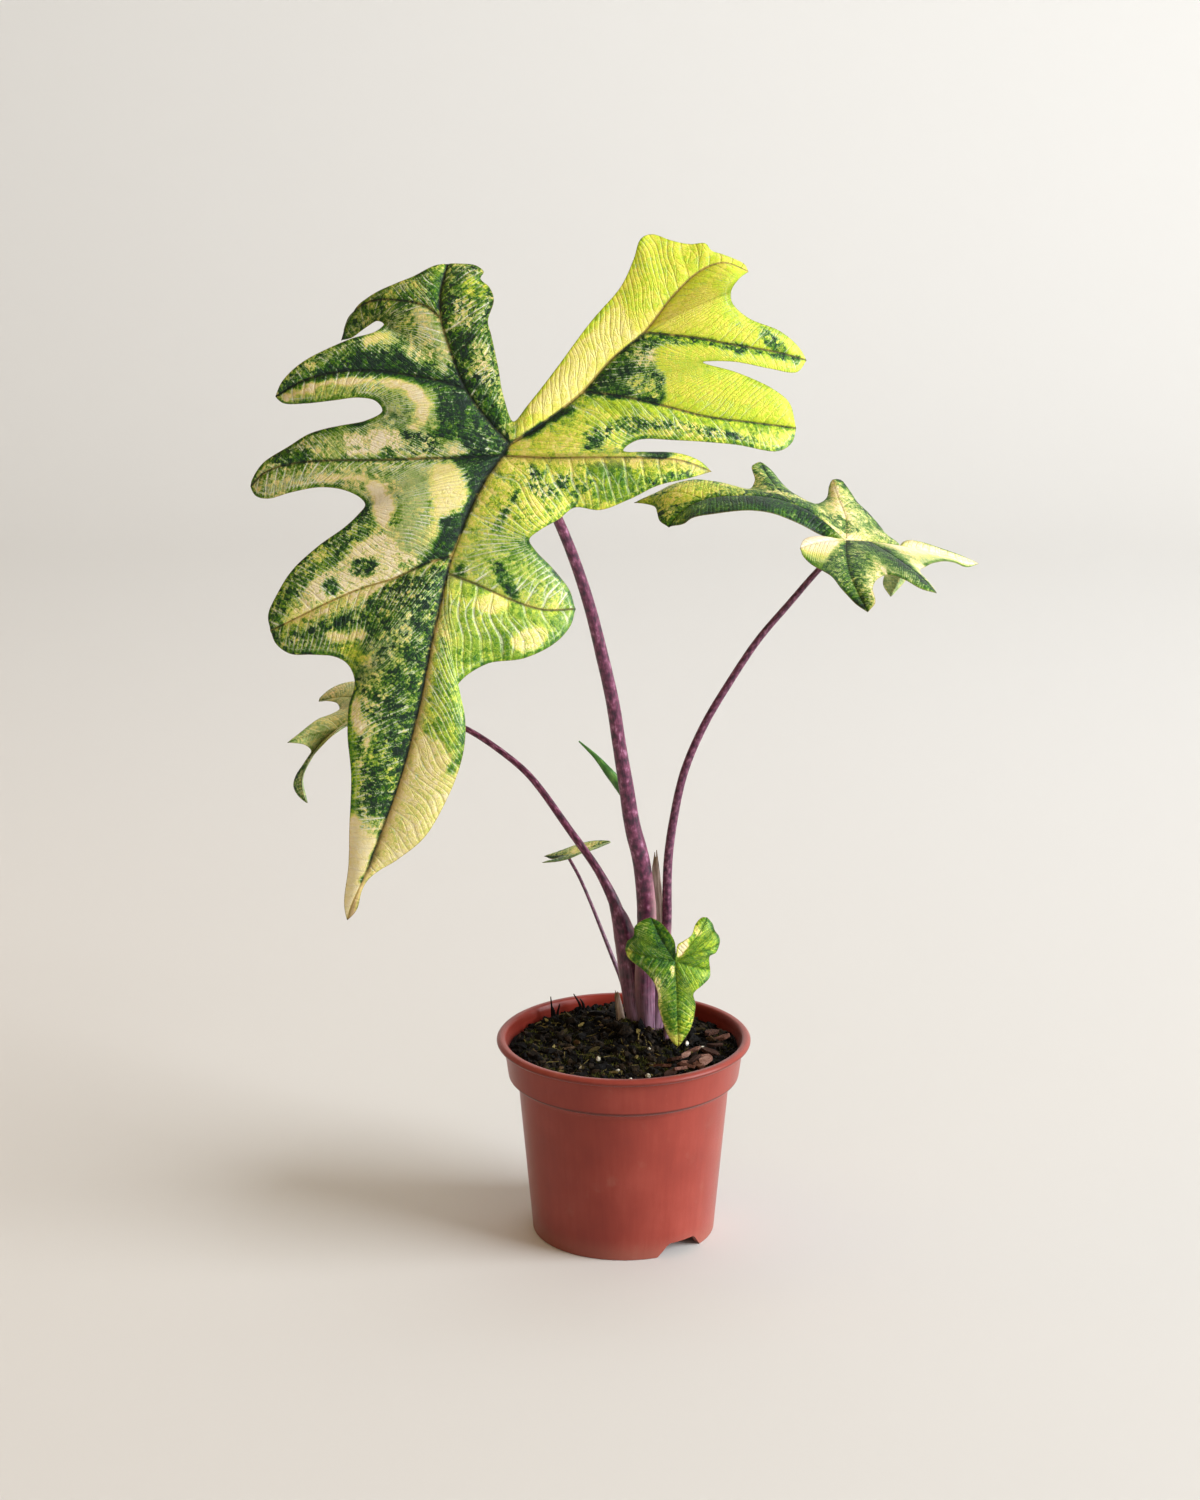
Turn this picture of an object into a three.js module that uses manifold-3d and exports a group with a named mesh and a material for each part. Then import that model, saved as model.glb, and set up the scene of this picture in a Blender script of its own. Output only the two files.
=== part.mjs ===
// Potted jacklyn alocasia in a plastic nursery pot.
// Millimetres, +Z up. The origin is the middle of the pot's underside, -Y is the front.
// The plant has five leaves, a young leaf that still stands as a spike, and one dry sheath.
// Each leaf is a thin blade on its own petiole, and the petioles join in one clasped base.
import * as THREE from 'three';
import { mergeVertices } from 'three/addons/utils/BufferGeometryUtils.js';
import Module from 'manifold-3d';

const wasm = await Module();
wasm.setup();

// Pot: the driving dimensions
const POT_HEIGHT = 96.7;
const LIP_RADIUS = 60;
const BAND_TOP_RADIUS = 56.7;
const BAND_FOOT_RADIUS = 54.7;
const BAND_FOOT_Z = 78.6;
const BODY_TOP_RADIUS = 50;
const BODY_TOP_Z = 74;
const BASE_RADIUS = 43.3;
const WALL = 1.3;
const FLOOR_Z = 5;
const PAD_RADIUS = 13;
const FOOT_WIDTH = 3;
const POT_SIDES = 40;
const DRAIN_COUNT = 6;
const DRAIN_RADIUS = 3.2;
const DRAIN_CIRCLE = 27;
const NOTCH_DEGREES = [39, 219];
const NOTCH_HEIGHT = 6.5;
const NOTCH_FOOT_WIDTH = 26;
const NOTCH_TOP_WIDTH = 16;

// Clearance kept between touching pieces
const GAP = 0.3;

// Soil: mean level, its lumps, and the mound round the stems
const SOIL_Z = 90.8;
const SOIL_RINGS = 11;
const LUMP_COUNT = 90;
const LUMP_RADIUS = 5.5;
const LUMP_HEIGHT = 2.1;
const MOUND_HEIGHT = 3.6;
const MOUND_RADIUS = 17;
const MOUND_CENTRE = [11, 17];
const SOIL_SEED = 11;

// Stems: where the clasped base starts in the soil and where it ends and parts into petioles
const BASE_SINK_Z = 72;
const CLASP_TOP_Z = 134;
const PLANT_TOP_Z = 600;

// Blades: thickness, how far the skin domes between ribs and sinks over them
const BLADE_THICKNESS = 0.8;
const DOME = 0.06;
const RIB_GROOVE = 0.25;

// A rib's keel at its root when it branches off another rib, and at every tip
const BRANCH_KEEL = 0.6;
const TIP_KEEL = 0.15;

// How far a margin's points may crowd towards the sinus between two lobes
const MOST_CROWDED = 2.2;

// Where a blade's vertices lie between its rib and its margin, as shares of the way
const ACROSS = [0, 0.08, 0.36, 0.7, 1];
const ACROSS_SMALL = [0, 0.12, 0.5, 1];

// How far the two leaves that face the front lean back, in degrees
const BIG_LEAF_TILT = 16.4;
const FRONT_LEAF_TILT = 10;

const degrees = (value) => (value * Math.PI) / 180;

// Colours taken by eye from the photographed plant
const COLOURS = {
  pot: '#bd5344',
  soil: '#1f1a14',
  petiole: '#71365a',
  base: '#6b3552',
  leaf: '#7f9d3b',
  cream: '#b9c07c',
  spike: '#4f7f35',
  sheath: '#c5a184',
};

function material(colour, roughness) {
  return new THREE.MeshStandardMaterial({ color: colour, roughness, metalness: 0 });
}

// Solids

function solidOf(geometry) {
  const bare = geometry.clone();
  bare.deleteAttribute('normal');
  bare.deleteAttribute('uv');
  const merged = mergeVertices(bare, 1e-4);
  return new wasm.Manifold(new wasm.Mesh({
    numProp: 3,
    vertProperties: new Float32Array(merged.attributes.position.array),
    triVerts: new Uint32Array(merged.index.array),
  }));
}

function geometryOf(solid) {
  const mesh = solid.getMesh();
  const geometry = new THREE.BufferGeometry();
  geometry.setAttribute('position', new THREE.BufferAttribute(mesh.vertProperties, mesh.numProp));
  geometry.setIndex(new THREE.BufferAttribute(mesh.triVerts, 1));
  geometry.computeVertexNormals();
  return geometry;
}

function geometryFrom(points, triangles) {
  const geometry = new THREE.BufferGeometry();
  geometry.setAttribute('position', new THREE.Float32BufferAttribute(points.flat(), 3));
  geometry.setIndex(triangles.flat());
  geometry.computeVertexNormals();
  return geometry;
}

// Turns a closed outline of [radius, z] about the vertical axis
function turned(profile, sides) {
  const outline = profile.map(([radius, z]) => new THREE.Vector2(radius, z));
  const geometry = new THREE.LatheGeometry(outline, sides);
  geometry.rotateX(Math.PI / 2);
  return geometry;
}

function lerp(a, b, amount) {
  return a + (b - a) * amount;
}

// Pot

const BAND_INNER_TOP = [BAND_TOP_RADIUS - WALL, 94.4];
const BAND_INNER_FOOT = [BAND_FOOT_RADIUS - WALL, BAND_FOOT_Z + 0.4];
const BODY_INNER_TOP = [BODY_TOP_RADIUS - WALL, BODY_TOP_Z + 0.6];
const BODY_INNER_FOOT = [BASE_RADIUS - WALL + 0.5, FLOOR_Z + WALL];

const POT_PROFILE = [
  [0, 0],
  [PAD_RADIUS, 0],
  [PAD_RADIUS + 2, FLOOR_Z],
  [BASE_RADIUS - FOOT_WIDTH - 1, FLOOR_Z],
  [BASE_RADIUS - FOOT_WIDTH, 0],
  [BASE_RADIUS, 0],
  [BODY_TOP_RADIUS, BODY_TOP_Z],
  [BODY_TOP_RADIUS + 0.7, BODY_TOP_Z + 1.8],
  [BAND_FOOT_RADIUS - 1.6, BAND_FOOT_Z - 1.9],
  [BAND_FOOT_RADIUS - 0.3, BAND_FOOT_Z - 1],
  [BAND_FOOT_RADIUS, BAND_FOOT_Z],
  [BAND_TOP_RADIUS, 93.2],
  [LIP_RADIUS - 0.8, 93.7],
  [LIP_RADIUS, 95.1],
  [LIP_RADIUS - 0.6, 96.3],
  [LIP_RADIUS - 1.8, POT_HEIGHT],
  [LIP_RADIUS - 3.6, 96.2],
  BAND_INNER_TOP,
  BAND_INNER_FOOT,
  [BODY_INNER_TOP[0] + 0.6, BODY_INNER_TOP[1] + 1.6],
  BODY_INNER_TOP,
  BODY_INNER_FOOT,
  [PAD_RADIUS + 2.6, FLOOR_Z + WALL],
  [PAD_RADIUS + 0.6, WALL],
  [0, WALL],
];

// A tapered opening in the foot ring, wider where it meets the table
function notchSolid(azimuth) {
  const low = NOTCH_FOOT_WIDTH / 2;
  const high = NOTCH_TOP_WIDTH / 2;
  const depthBelow = 2;
  const reach = 8;
  const shape = new THREE.Shape();
  shape.moveTo(-low, -depthBelow);
  shape.lineTo(low, -depthBelow);
  shape.lineTo(high, NOTCH_HEIGHT);
  shape.lineTo(-high, NOTCH_HEIGHT);
  shape.closePath();
  const geometry = new THREE.ExtrudeGeometry(shape, { depth: reach, bevelEnabled: false });
  geometry.rotateX(Math.PI / 2);
  geometry.translate(0, -(BASE_RADIUS - FOOT_WIDTH - 2.5), 0);
  geometry.rotateZ(degrees(azimuth));
  return solidOf(geometry);
}

function drainSolid(index) {
  const geometry = new THREE.CylinderGeometry(DRAIN_RADIUS, DRAIN_RADIUS, 4 * WALL, 12);
  geometry.rotateX(Math.PI / 2);
  geometry.translate(DRAIN_CIRCLE, 0, FLOOR_Z + WALL / 2);
  geometry.rotateZ((index * 2 * Math.PI) / DRAIN_COUNT);
  return solidOf(geometry);
}

function potGeometry() {
  let solid = solidOf(turned(POT_PROFILE, POT_SIDES));
  for (const azimuth of NOTCH_DEGREES) {
    solid = solid.subtract(notchSolid(azimuth));
  }
  for (let index = 0; index < DRAIN_COUNT; index += 1) {
    solid = solid.subtract(drainSolid(index));
  }
  return geometryOf(solid);
}

// Stalks: a tube of oval rings along a smooth path
// A knot is [x, y, z, half width, half depth]; the width lies nearest to the X axis.

function stalkGeometry(knots, sides, perKnot, grow = 0) {
  const path = new THREE.CatmullRomCurve3(
    knots.map(([x, y, z]) => new THREE.Vector3(x, y, z)), false, 'centripetal');
  const last = knots.length - 1;
  const rings = last * perKnot;
  const points = [];
  const triangles = [];
  for (let ring = 0; ring <= rings; ring += 1) {
    const place = ring / perKnot;
    const before = Math.min(Math.floor(place), last - 1);
    const part = place - before;
    const width = lerp(knots[before][3], knots[before + 1][3], part) + grow;
    const depth = lerp(knots[before][4], knots[before + 1][4], part) + grow;
    const centre = path.getPoint(ring / rings);
    const along = path.getTangent(ring / rings);
    const side = new THREE.Vector3(1, 0, 0);
    side.addScaledVector(along, -side.dot(along)).normalize();
    const front = new THREE.Vector3().crossVectors(along, side);
    for (let step = 0; step < sides; step += 1) {
      const angle = (step * 2 * Math.PI) / sides;
      const point = centre.clone();
      point.addScaledVector(side, width * Math.cos(angle));
      point.addScaledVector(front, depth * Math.sin(angle));
      points.push(point.toArray());
    }
  }
  for (let ring = 0; ring < rings; ring += 1) {
    for (let step = 0; step < sides; step += 1) {
      const next = (step + 1) % sides;
      const a = ring * sides + step;
      const b = ring * sides + next;
      triangles.push([a, b, b + sides], [a, b + sides, a + sides]);
    }
  }
  const foot = points.push(path.getPoint(0).toArray()) - 1;
  const head = points.push(path.getPoint(1).toArray()) - 1;
  for (let step = 0; step < sides; step += 1) {
    const next = (step + 1) % sides;
    triangles.push([foot, next, step]);
    triangles.push([head, rings * sides + step, rings * sides + next]);
  }
  return geometryFrom(points, triangles);
}

// The stalks' centrelines, from deep in the soil to the leaf they carry
const MAIN_STALK = [
  [12, 18, BASE_SINK_Z, 4.4, 4.4],
  [11.5, 17, 90, 4.9, 4.7],
  [11, 15.5, 105, 5, 4.7],
  [10.5, 13, 120, 4.7, 4.5],
  [10.5, 10.5, 137, 4.4, 4.2],
  [10.5, 8, 151, 4.2, 4],
  [10, 6, 165, 4.2, 3.8],
  [8, 3, 183, 4.1, 3.7],
  [4, 1, 200, 3.8, 3.5],
  [1, -2, 220, 3.5, 3.3],
  [-2, -5, 239.5, 3.2, 3.1],
  [-5.5, -9, 263.5, 3.1, 3],
  [-10.5, -14, 287.5, 2.9, 2.9],
  [-16, -20, 311.5, 2.7, 2.7],
  [-23, -28, 335.5, 2.5, 2.5],
  [-29.5, -36, 354, 2.4, 2.4],
  [-37, -46, 373, 2.3, 2.3],
  [-44, -56, 387.5, 2.3, 2.3],
  [-48.5, -65.5, 394.2, 2.3, 2.3],
  [-50.4, -72.7, 396.8, 2.4, 2.4],
];
const LEFT_STALK = [
  [8, 18, BASE_SINK_Z, 3.6, 3.6],
  [6.5, 17.5, 92, 4.2, 4],
  [5, 16.5, 106, 4.4, 4],
  [3, 16.5, 122, 4.2, 3.6],
  [0.5, 17.5, 139, 3.9, 3],
  [-3.5, 19.5, 154, 2.9, 2.4],
  [-11.5, 25, 169.5, 2, 2],
  [-25.5, 36, 187, 1.8, 1.8],
  [-44.5, 50, 209.5, 1.6, 1.6],
  [-57, 58, 218.5, 1.5, 1.5],
  [-74.5, 68, 227.5, 1.4, 1.4],
  [-90, 74.5, 232, 1.3, 1.3],
  [-103, 78, 232.3, 1.3, 1.3],
  [-110.2, 79.5, 234.4, 1.3, 1.3],
];
const RIGHT_STALK = [
  [14.5, 18, BASE_SINK_Z, 3, 3],
  [15.5, 17, 92, 3.4, 3.4],
  [16.5, 15.5, 108, 3.2, 3.2],
  [18, 13.5, 124.5, 2.8, 2.8],
  [19.4, 12, 137, 2.5, 2.5],
  [20.4, 11, 150.5, 2.3, 2.3],
  [20.4, 10, 167.5, 2.2, 2.2],
  [21, 9, 183.5, 2.1, 2.1],
  [23, 9, 199.5, 2, 2],
  [28, 9, 224, 1.9, 1.9],
  [37, 9, 246.5, 1.8, 1.8],
  [49, 10, 267.5, 1.7, 1.7],
  [62, 11, 287.5, 1.6, 1.6],
  [76.5, 12, 305, 1.5, 1.5],
  [89, 12, 320, 1.4, 1.4],
  [97.5, 12, 328.5, 1.4, 1.4],
  [101, 12, 331.9, 1.4, 1.4],
];
// The sheaths at the heart of the clasp, where the young leaf and the dry sheath are rooted
const CORE_STALK = [
  [13, 18, BASE_SINK_Z, 3, 3],
  [13, 17.8, 95, 3.6, 3],
  [13.6, 17.4, 115, 4, 2.8],
  [14, 17.6, 140, 4.4, 2.2],
];
const BACK_STALK = [
  [3, 31, BASE_SINK_Z + 8, 1.4, 1.4],
  [1.5, 30.5, 100, 1.4, 1.4],
  [-0.5, 31.5, 111.5, 1.1, 1.1],
  [-6, 35, 125.5, 1, 1],
  [-10.5, 39, 136, 0.9, 0.9],
  [-15.5, 44, 147.5, 0.8, 0.8],
  [-21, 49, 159, 0.8, 0.8],
  [-26, 53.9, 167, 0.8, 0.8],
];
const FRONT_STALK = [
  [20, 6, BASE_SINK_Z + 8, 1.3, 1.3],
  [20.5, 4.5, 101, 1.3, 1.3],
  [21, 1.5, 115, 1.2, 1.2],
  [22.2, -4.5, 128, 1.1, 1.1],
  [23.3, -11.5, 136.5, 1.1, 1.1],
  [23.9, -18.3, 140.9, 1.1, 1.1],
];

// Where the clasped base ends, each petiole is trimmed level
function slab(low, high) {
  const reach = 700;
  const geometry = new THREE.BoxGeometry(reach, reach, high - low);
  geometry.translate(0, 0, (low + high) / 2);
  return solidOf(geometry);
}

function claspedBase(grow) {
  const stalks = [MAIN_STALK, LEFT_STALK, RIGHT_STALK, CORE_STALK];
  const tubes = stalks.map((stalk) => solidOf(stalkGeometry(stalk, 12, 2, grow)));
  const joined = tubes.reduce((whole, tube) => whole.add(tube));
  const foot = BASE_SINK_Z - 2 - grow;
  return joined.intersect(slab(foot, CLASP_TOP_Z));
}

function freePetiole(stalk, sides, perKnot) {
  const tube = solidOf(stalkGeometry(stalk, sides, perKnot));
  return geometryOf(tube.intersect(slab(CLASP_TOP_Z + GAP, PLANT_TOP_Z)));
}

// Soil

// The same small generator each time gives the same lumps
function seededDraw(seed) {
  let state = seed;
  return () => {
    state = (state * 1664525 + 1013904223) % 4294967296;
    return state / 4294967296;
  };
}

function soilLumps() {
  const draw = seededDraw(SOIL_SEED);
  const lumps = [];
  for (let count = 0; count < LUMP_COUNT; count += 1) {
    const radius = (BAND_TOP_RADIUS - 5) * Math.sqrt(draw());
    const angle = 2 * Math.PI * draw();
    const width = LUMP_RADIUS * lerp(0.7, 1.3, draw());
    const height = LUMP_HEIGHT * lerp(-0.5, 1, draw());
    lumps.push([radius * Math.cos(angle), radius * Math.sin(angle), width, height]);
  }
  return lumps;
}

function soilTop(x, y, lumps) {
  const [moundX, moundY] = MOUND_CENTRE;
  const off = Math.hypot(x - moundX, y - moundY) / MOUND_RADIUS;
  let z = SOIL_Z + MOUND_HEIGHT * Math.exp(-off * off);
  for (const [lumpX, lumpY, width, height] of lumps) {
    const away = Math.hypot(x - lumpX, y - lumpY) / width;
    z += away < 1 ? height * (1 - away * away) ** 2 : 0;
  }
  return Math.min(z, POT_HEIGHT);
}

const SOIL_SIDE = [
  [PAD_RADIUS + 0.2, WALL + GAP],
  [PAD_RADIUS + 2.2, FLOOR_Z + WALL + GAP],
  [BODY_INNER_FOOT[0] - GAP, FLOOR_Z + WALL + GAP],
  [BODY_INNER_TOP[0] - GAP, BODY_INNER_TOP[1] + 0.1],
  [BODY_INNER_TOP[0] + 0.2, BODY_INNER_TOP[1] + 1.9],
  [BAND_INNER_FOOT[0] - GAP, BAND_INNER_FOOT[1] + 0.4],
];

function soilGeometry() {
  const lumps = soilLumps();
  const points = [[0, 0, WALL + GAP]];
  const triangles = [];
  const rise = (SOIL_Z - BAND_INNER_FOOT[1]) / (BAND_INNER_TOP[1] - BAND_INNER_FOOT[1]);
  const topRadius = lerp(BAND_INNER_FOOT[0], BAND_INNER_TOP[0], rise) - GAP - 0.15;
  const rings = SOIL_SIDE.map(([radius, z]) => ({ radius, z }));
  for (let ring = SOIL_RINGS; ring >= 1; ring -= 1) {
    rings.push({ radius: (topRadius * ring) / SOIL_RINGS, z: null });
  }
  rings.forEach(({ radius, z }) => {
    for (let step = 0; step < POT_SIDES; step += 1) {
      const angle = (step * 2 * Math.PI) / POT_SIDES;
      const x = radius * Math.cos(angle);
      const y = radius * Math.sin(angle);
      points.push([x, y, z ?? soilTop(x, y, lumps)]);
    }
  });
  const crown = points.push([0, 0, soilTop(0, 0, lumps)]) - 1;
  const start = (ring) => 1 + ring * POT_SIDES;
  for (let step = 0; step < POT_SIDES; step += 1) {
    const next = (step + 1) % POT_SIDES;
    triangles.push([0, start(0) + next, start(0) + step]);
    for (let ring = 0; ring < rings.length - 1; ring += 1) {
      const low = start(ring);
      const high = start(ring + 1);
      triangles.push([low + step, low + next, high + next], [low + step, high + next, high + step]);
    }
    const inner = start(rings.length - 1);
    triangles.push([crown, inner + step, inner + next]);
  }
  let solid = solidOf(geometryFrom(points, triangles));
  solid = solid.subtract(claspedBase(GAP + 0.05));
  for (const stalk of [BACK_STALK, FRONT_STALK]) {
    solid = solid.subtract(solidOf(stalkGeometry(stalk, 8, 2, GAP + 0.05)));
  }
  return geometryOf(solid);
}

// Blades
// A leaf is a tree of ribs and, between each two neighbouring rib tips, a web with its margin.
// Every point is [u, v, h]: across and along the blade from where the petiole meets it, and
// h towards its upper face. A web names its two ribs, the place in its margin of the point
// that lies deepest between the lobes, and the margin's points from the first tip to the second.

const MAIN_LEAF = {
  keel: 1.5,
  perKnot: 2,
  across: ACROSS,
  ribs: {
    midrib: { knots: [[0, 0, 0], [-3.5, -5, 0], [-10, -14, 1], [-17.5, -28.5, 2], [-22.5, -42, 3],
      [-25, -48.5, 3], [-27, -56, 3], [-30, -69.5, 4], [-34, -87, 5], [-37.5, -106.5, 5],
      [-41.5, -123.5, 4], [-47.5, -145, 2], [-55.5, -167, -2], [-63.5, -187.5, -9],
      [-69.5, -200, -17], [-72, -207, -24]] },
    left_back: { knots: [[0, 0, 0], [-9, 9.5, 1], [-19, 23.5, 1], [-25.5, 39.5, 0], [-30, 54.5, -3],
      [-30.5, 65.5, -7], [-27.5, 79.5, -13]] },
    curled: { from: ['left_back', 4], knots: [[-36.5, 60, -5], [-48, 63, -8],
      [-60, 63.5, -13], [-70, 58.5, -20], [-75, 47.5, -27]] },
    left_high: { from: ['left_back', 2], knots: [[-30, 27, 1], [-45.5, 30, 0],
      [-62, 32, -1], [-78, 31, -3], [-91, 27.5, -6], [-102.5, 21.5, -12]] },
    left_mid: { from: ['midrib', 1], knots: [[-21.5, -6, 1], [-39.5, -6.5, 1],
      [-59, -7, 0], [-78, -7, -2], [-94.5, -8, -6], [-106.5, -11.5, -9], [-113.5, -17.5, -13]] },
    left_low: { from: ['midrib', 5], knots: [[-35.5, -51.5, 3], [-49.5, -58, 2],
      [-64.5, -62.5, 0], [-80, -69, -2], [-92.5, -75, -5], [-104.5, -80.5, -9]] },
    right_low: { from: ['midrib', 6], knots: [[-14, -61, 3], [-0.5, -67, 1],
      [14, -71.5, -2], [28.5, -71, -8]] },
    right_mid: { from: ['midrib', 1], knots: [[15, -6, 2], [34.5, -6, 3], [54, -6, 2],
      [73.5, -7, 0], [87.5, -11.5, -6]] },
    right_back: { knots: [[0, 0, 0], [8.5, 5, 1], [20, 13, 1], [31.5, 22.5, 1], [44, 36.5, 2],
      [58, 48, 2], [70.5, 64, 0], [82, 75, -3], [92.5, 79, -5], [103.5, 75.5, -8]] },
    right_high: { from: ['right_back', 3], knots: [[47.5, 20.5, 2], [66, 16.5, 1],
      [85, 12, -2], [104, 10, -7], [124.5, 8, -14]] },
    right_top: { from: ['right_back', 5], knots: [[78, 46, 1], [97, 43, -2],
      [115, 40.5, -7], [129, 37.5, -13]] },
  },
  webs: [
    ['left_back', 'curled', 1, [[-33, 78.5, -12], [-42.5, 73.5, -12], [-56, 68, -14],
      [-67, 61.5, -18], [-73, 52.5, -24]]],
    ['curled', 'left_high', 3, [[-70, 48.5, -24], [-64, 52, -19], [-58, 54.5, -13],
      [-55, 52.5, -9], [-58.5, 49, -5], [-68.5, 46, -3], [-81.5, 40.5, -4], [-92, 34.5, -5],
      [-99, 28, -8]]],
    ['left_high', 'left_mid', 5, [[-99, 18.5, -11], [-88.5, 18, -6], [-76, 19, -2],
      [-65.5, 20, 0], [-58, 18.5, 1], [-55, 14, 2], [-62, 10, 1], [-73.5, 8, -1],
      [-86.5, 5, -4], [-97.5, -1, -7], [-108, -8, -10], [-112.5, -14.5, -12]]],
    ['left_mid', 'left_low', 6, [[-111, -21.5, -12], [-105.5, -23, -10], [-95, -20.5, -6],
      [-82.5, -18.5, -3], [-71.5, -20, 0], [-64.5, -23.5, 1], [-62.5, -26.5, 2], [-65, -30, 1],
      [-71.5, -36, 0], [-83, -44, -2], [-94, -54, -4], [-101.5, -65, -7], [-105.5, -74, -9]]],
    ['left_low', 'midrib', 5, [[-102, -86, -8], [-95.5, -90.5, -6], [-85.5, -91, -3],
      [-75.5, -92, -1], [-70, -95.5, 0], [-67, -103.5, 2], [-69.5, -113, 2], [-70, -125.5, 2],
      [-68.5, -143, 1], [-69.5, -162.5, -2], [-70.5, -182.5, -8], [-72.5, -197.5, -17]]],
    ['midrib', 'right_low', 9, [[-67.5, -201.5, -19], [-65, -193, -14], [-61, -187.5, -11],
      [-49.5, -180, -6], [-37, -170, -1], [-27.5, -154.5, 3], [-21.5, -139.5, 5], [-19, -125.5, 5],
      [-20, -114, 3], [-23.5, -106.5, 2], [-20.5, -101.5, 2], [-10, -95, 1], [6.5, -92.5, 0],
      [19.5, -86, -3], [26.5, -78, -6]]],
    ['right_low', 'right_mid', 3, [[25.5, -62.5, -6], [18, -53, -2], [11, -46, 2], [8.5, -41.5, 4],
      [13, -37.5, 4], [21.5, -32.5, 2], [28, -27.5, 0], [39, -28.5, -1], [51.5, -24, 0],
      [64, -18, 1], [78, -14.5, -2]]],
    ['right_mid', 'right_high', 3, [[82, -7, -4], [73, -4, -2], [58.5, -3.5, 0], [49, -3, 2],
      [55, 1.5, 1], [73.5, 1.5, 0], [97, 0, -3], [116.5, -2.5, -8], [123, 2, -12]]],
    ['right_high', 'right_top', 3, [[121.5, 18.5, -10], [113.5, 24.5, -6], [97, 31.5, -2], [83.5, 35, 2],
      [96.5, 35.5, 0], [112.5, 33, -5], [124.5, 32, -10]]],
    ['right_top', 'right_back', 4, [[126, 42.5, -11], [117, 49.5, -7], [103.5, 54.5, -3],
      [96, 61, 1], [95.5, 65.5, 2], [99, 71.5, -2]]],
    ['right_back', 'left_back', 13, [[101.5, 79, -9], [92, 83.5, -9], [87.5, 85, -9], [85, 88, -9],
      [78, 87.5, -9], [70, 89, -8], [61.5, 92, -9], [56.5, 89.5, -6], [53.5, 80.5, -3],
      [48.5, 69, 0], [35, 52.5, 3], [20.5, 33, 4], [8.5, 17.5, 3], [1.5, 9.5, 1], [-2.5, 20, 2],
      [-5, 33, 2], [-8, 47, 1], [-9.5, 53, 0], [-7, 62.5, -3], [-9, 68.5, -6], [-13, 72.5, -8],
      [-11.5, 75.5, -9], [-15.5, 79, -11], [-22, 79.5, -12]]],
  ],
};

const RIGHT_LEAF = {
  keel: 1,
  perKnot: 2,
  across: ACROSS_SMALL,
  ribs: {
    midrib: { knots: [[0, 0, 0], [11.5, 8, -2.5], [26.5, 18, -7], [41, 28, -12.5],
      [54, 36, -17], [66, 43, -21.5]] },
    far_low: { from: ['midrib', 2], knots: [[30, 30, -16.5], [28, 38, -28], [24.5, 41, -37]] },
    far_mid: { knots: [[0, 0, 0], [1, 20, 6], [-1.5, 34, 12], [-3.5, 48, 18]] },
    far_back: { knots: [[0, 0, 0], [-11, 6, 8.5], [-23, 12, 14], [-37, 15, 17], [-50.5, 17, 17],
      [-64.5, 18, 15], [-74.5, 16, 10], [-81, 13, 3]] },
    far_high: { from: ['far_back', 2], knots: [[-30, 26, 18], [-34.5, 38, 22],
      [-37.5, 48, 26.5]] },
    thin: { from: ['far_back', 5], knots: [[-76, 25, 17], [-87.5, 31, 14], [-97, 34, 10]] },
    near_back: { knots: [[0, 0, 0], [-8, -8, 1.5], [-15, -15, 2], [-22, -22, 1.5]] },
    near_low: { knots: [[0, 0, 0], [-1, -20, -3], [0, -37, -8], [3, -49, -13.5],
      [6.5, -59, -19]] },
    near_mid: { from: ['midrib', 1], knots: [[21.5, -6, -6], [31, -20, -10.5],
      [39.5, -34, -16.5]] },
  },
  webs: [
    ['midrib', 'far_low', 3, [[59, 42, -18], [49, 39, -13.5], [38, 37, -9.5], [33, 38, -10],
      [35.5, 44, -18], [32.5, 47, -29]]],
    ['far_low', 'far_mid', 3, [[21, 42, -31], [22.5, 38, -21.5], [23.5, 38, -12.5],
      [20, 35, -3.5], [13.5, 36, 4.5], [8, 39, 9], [4, 44, 14], [0.5, 48, 17.5]]],
    ['far_mid', 'far_high', 2, [[-5, 46, 15], [-7, 37, 11.5], [-13, 28, 11], [-19.5, 31, 13.5],
      [-26, 37, 17], [-31.5, 44, 22]]],
    ['far_high', 'thin', 2, [[-41.5, 44, 25], [-40.5, 35, 20.5], [-43, 29, 17.5],
      [-50, 31, 18.5], [-59.5, 34, 20], [-68.5, 36, 20.5], [-79, 38, 17.5], [-88.5, 38, 12.5]]],
    ['thin', 'far_back', 2, [[-90.5, 30, 10], [-87, 26, 9.5], [-86, 21, 7.5], [-85, 17, 5]]],
    ['far_back', 'near_back', 8, [[-74, 8, 5.5], [-70, 5, 9], [-60.5, 3, 11.5], [-49.5, 1, 13.5],
      [-41, 0, 14], [-32.5, 0, 12.5], [-21.5, 0, 8], [-11, 1, 2], [-4.5, -1, 0.5],
      [-10.5, -4, 3], [-16.5, -9, 4], [-20.5, -16, 3.5]]],
    ['near_back', 'near_low', 2, [[-21, -26, -1], [-17.5, -30, -4], [-13, -34, -6],
      [-8.5, -39, -8], [-4.5, -46, -11.5], [1.5, -54, -16.5]]],
    ['near_low', 'near_mid', 3, [[10, -56, -15.5], [9.5, -46, -11.5], [12.5, -36, -9.5],
      [17.5, -30, -9], [24.5, -32, -10.5], [32.5, -36, -14]]],
    ['near_mid', 'midrib', 2, [[37, -24, -14], [33.5, -12, -12], [37, 0, -12.5], [45, 18, -14.5],
      [53, 30, -17.5], [60.5, 38, -22]]],
  ],
};

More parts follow.
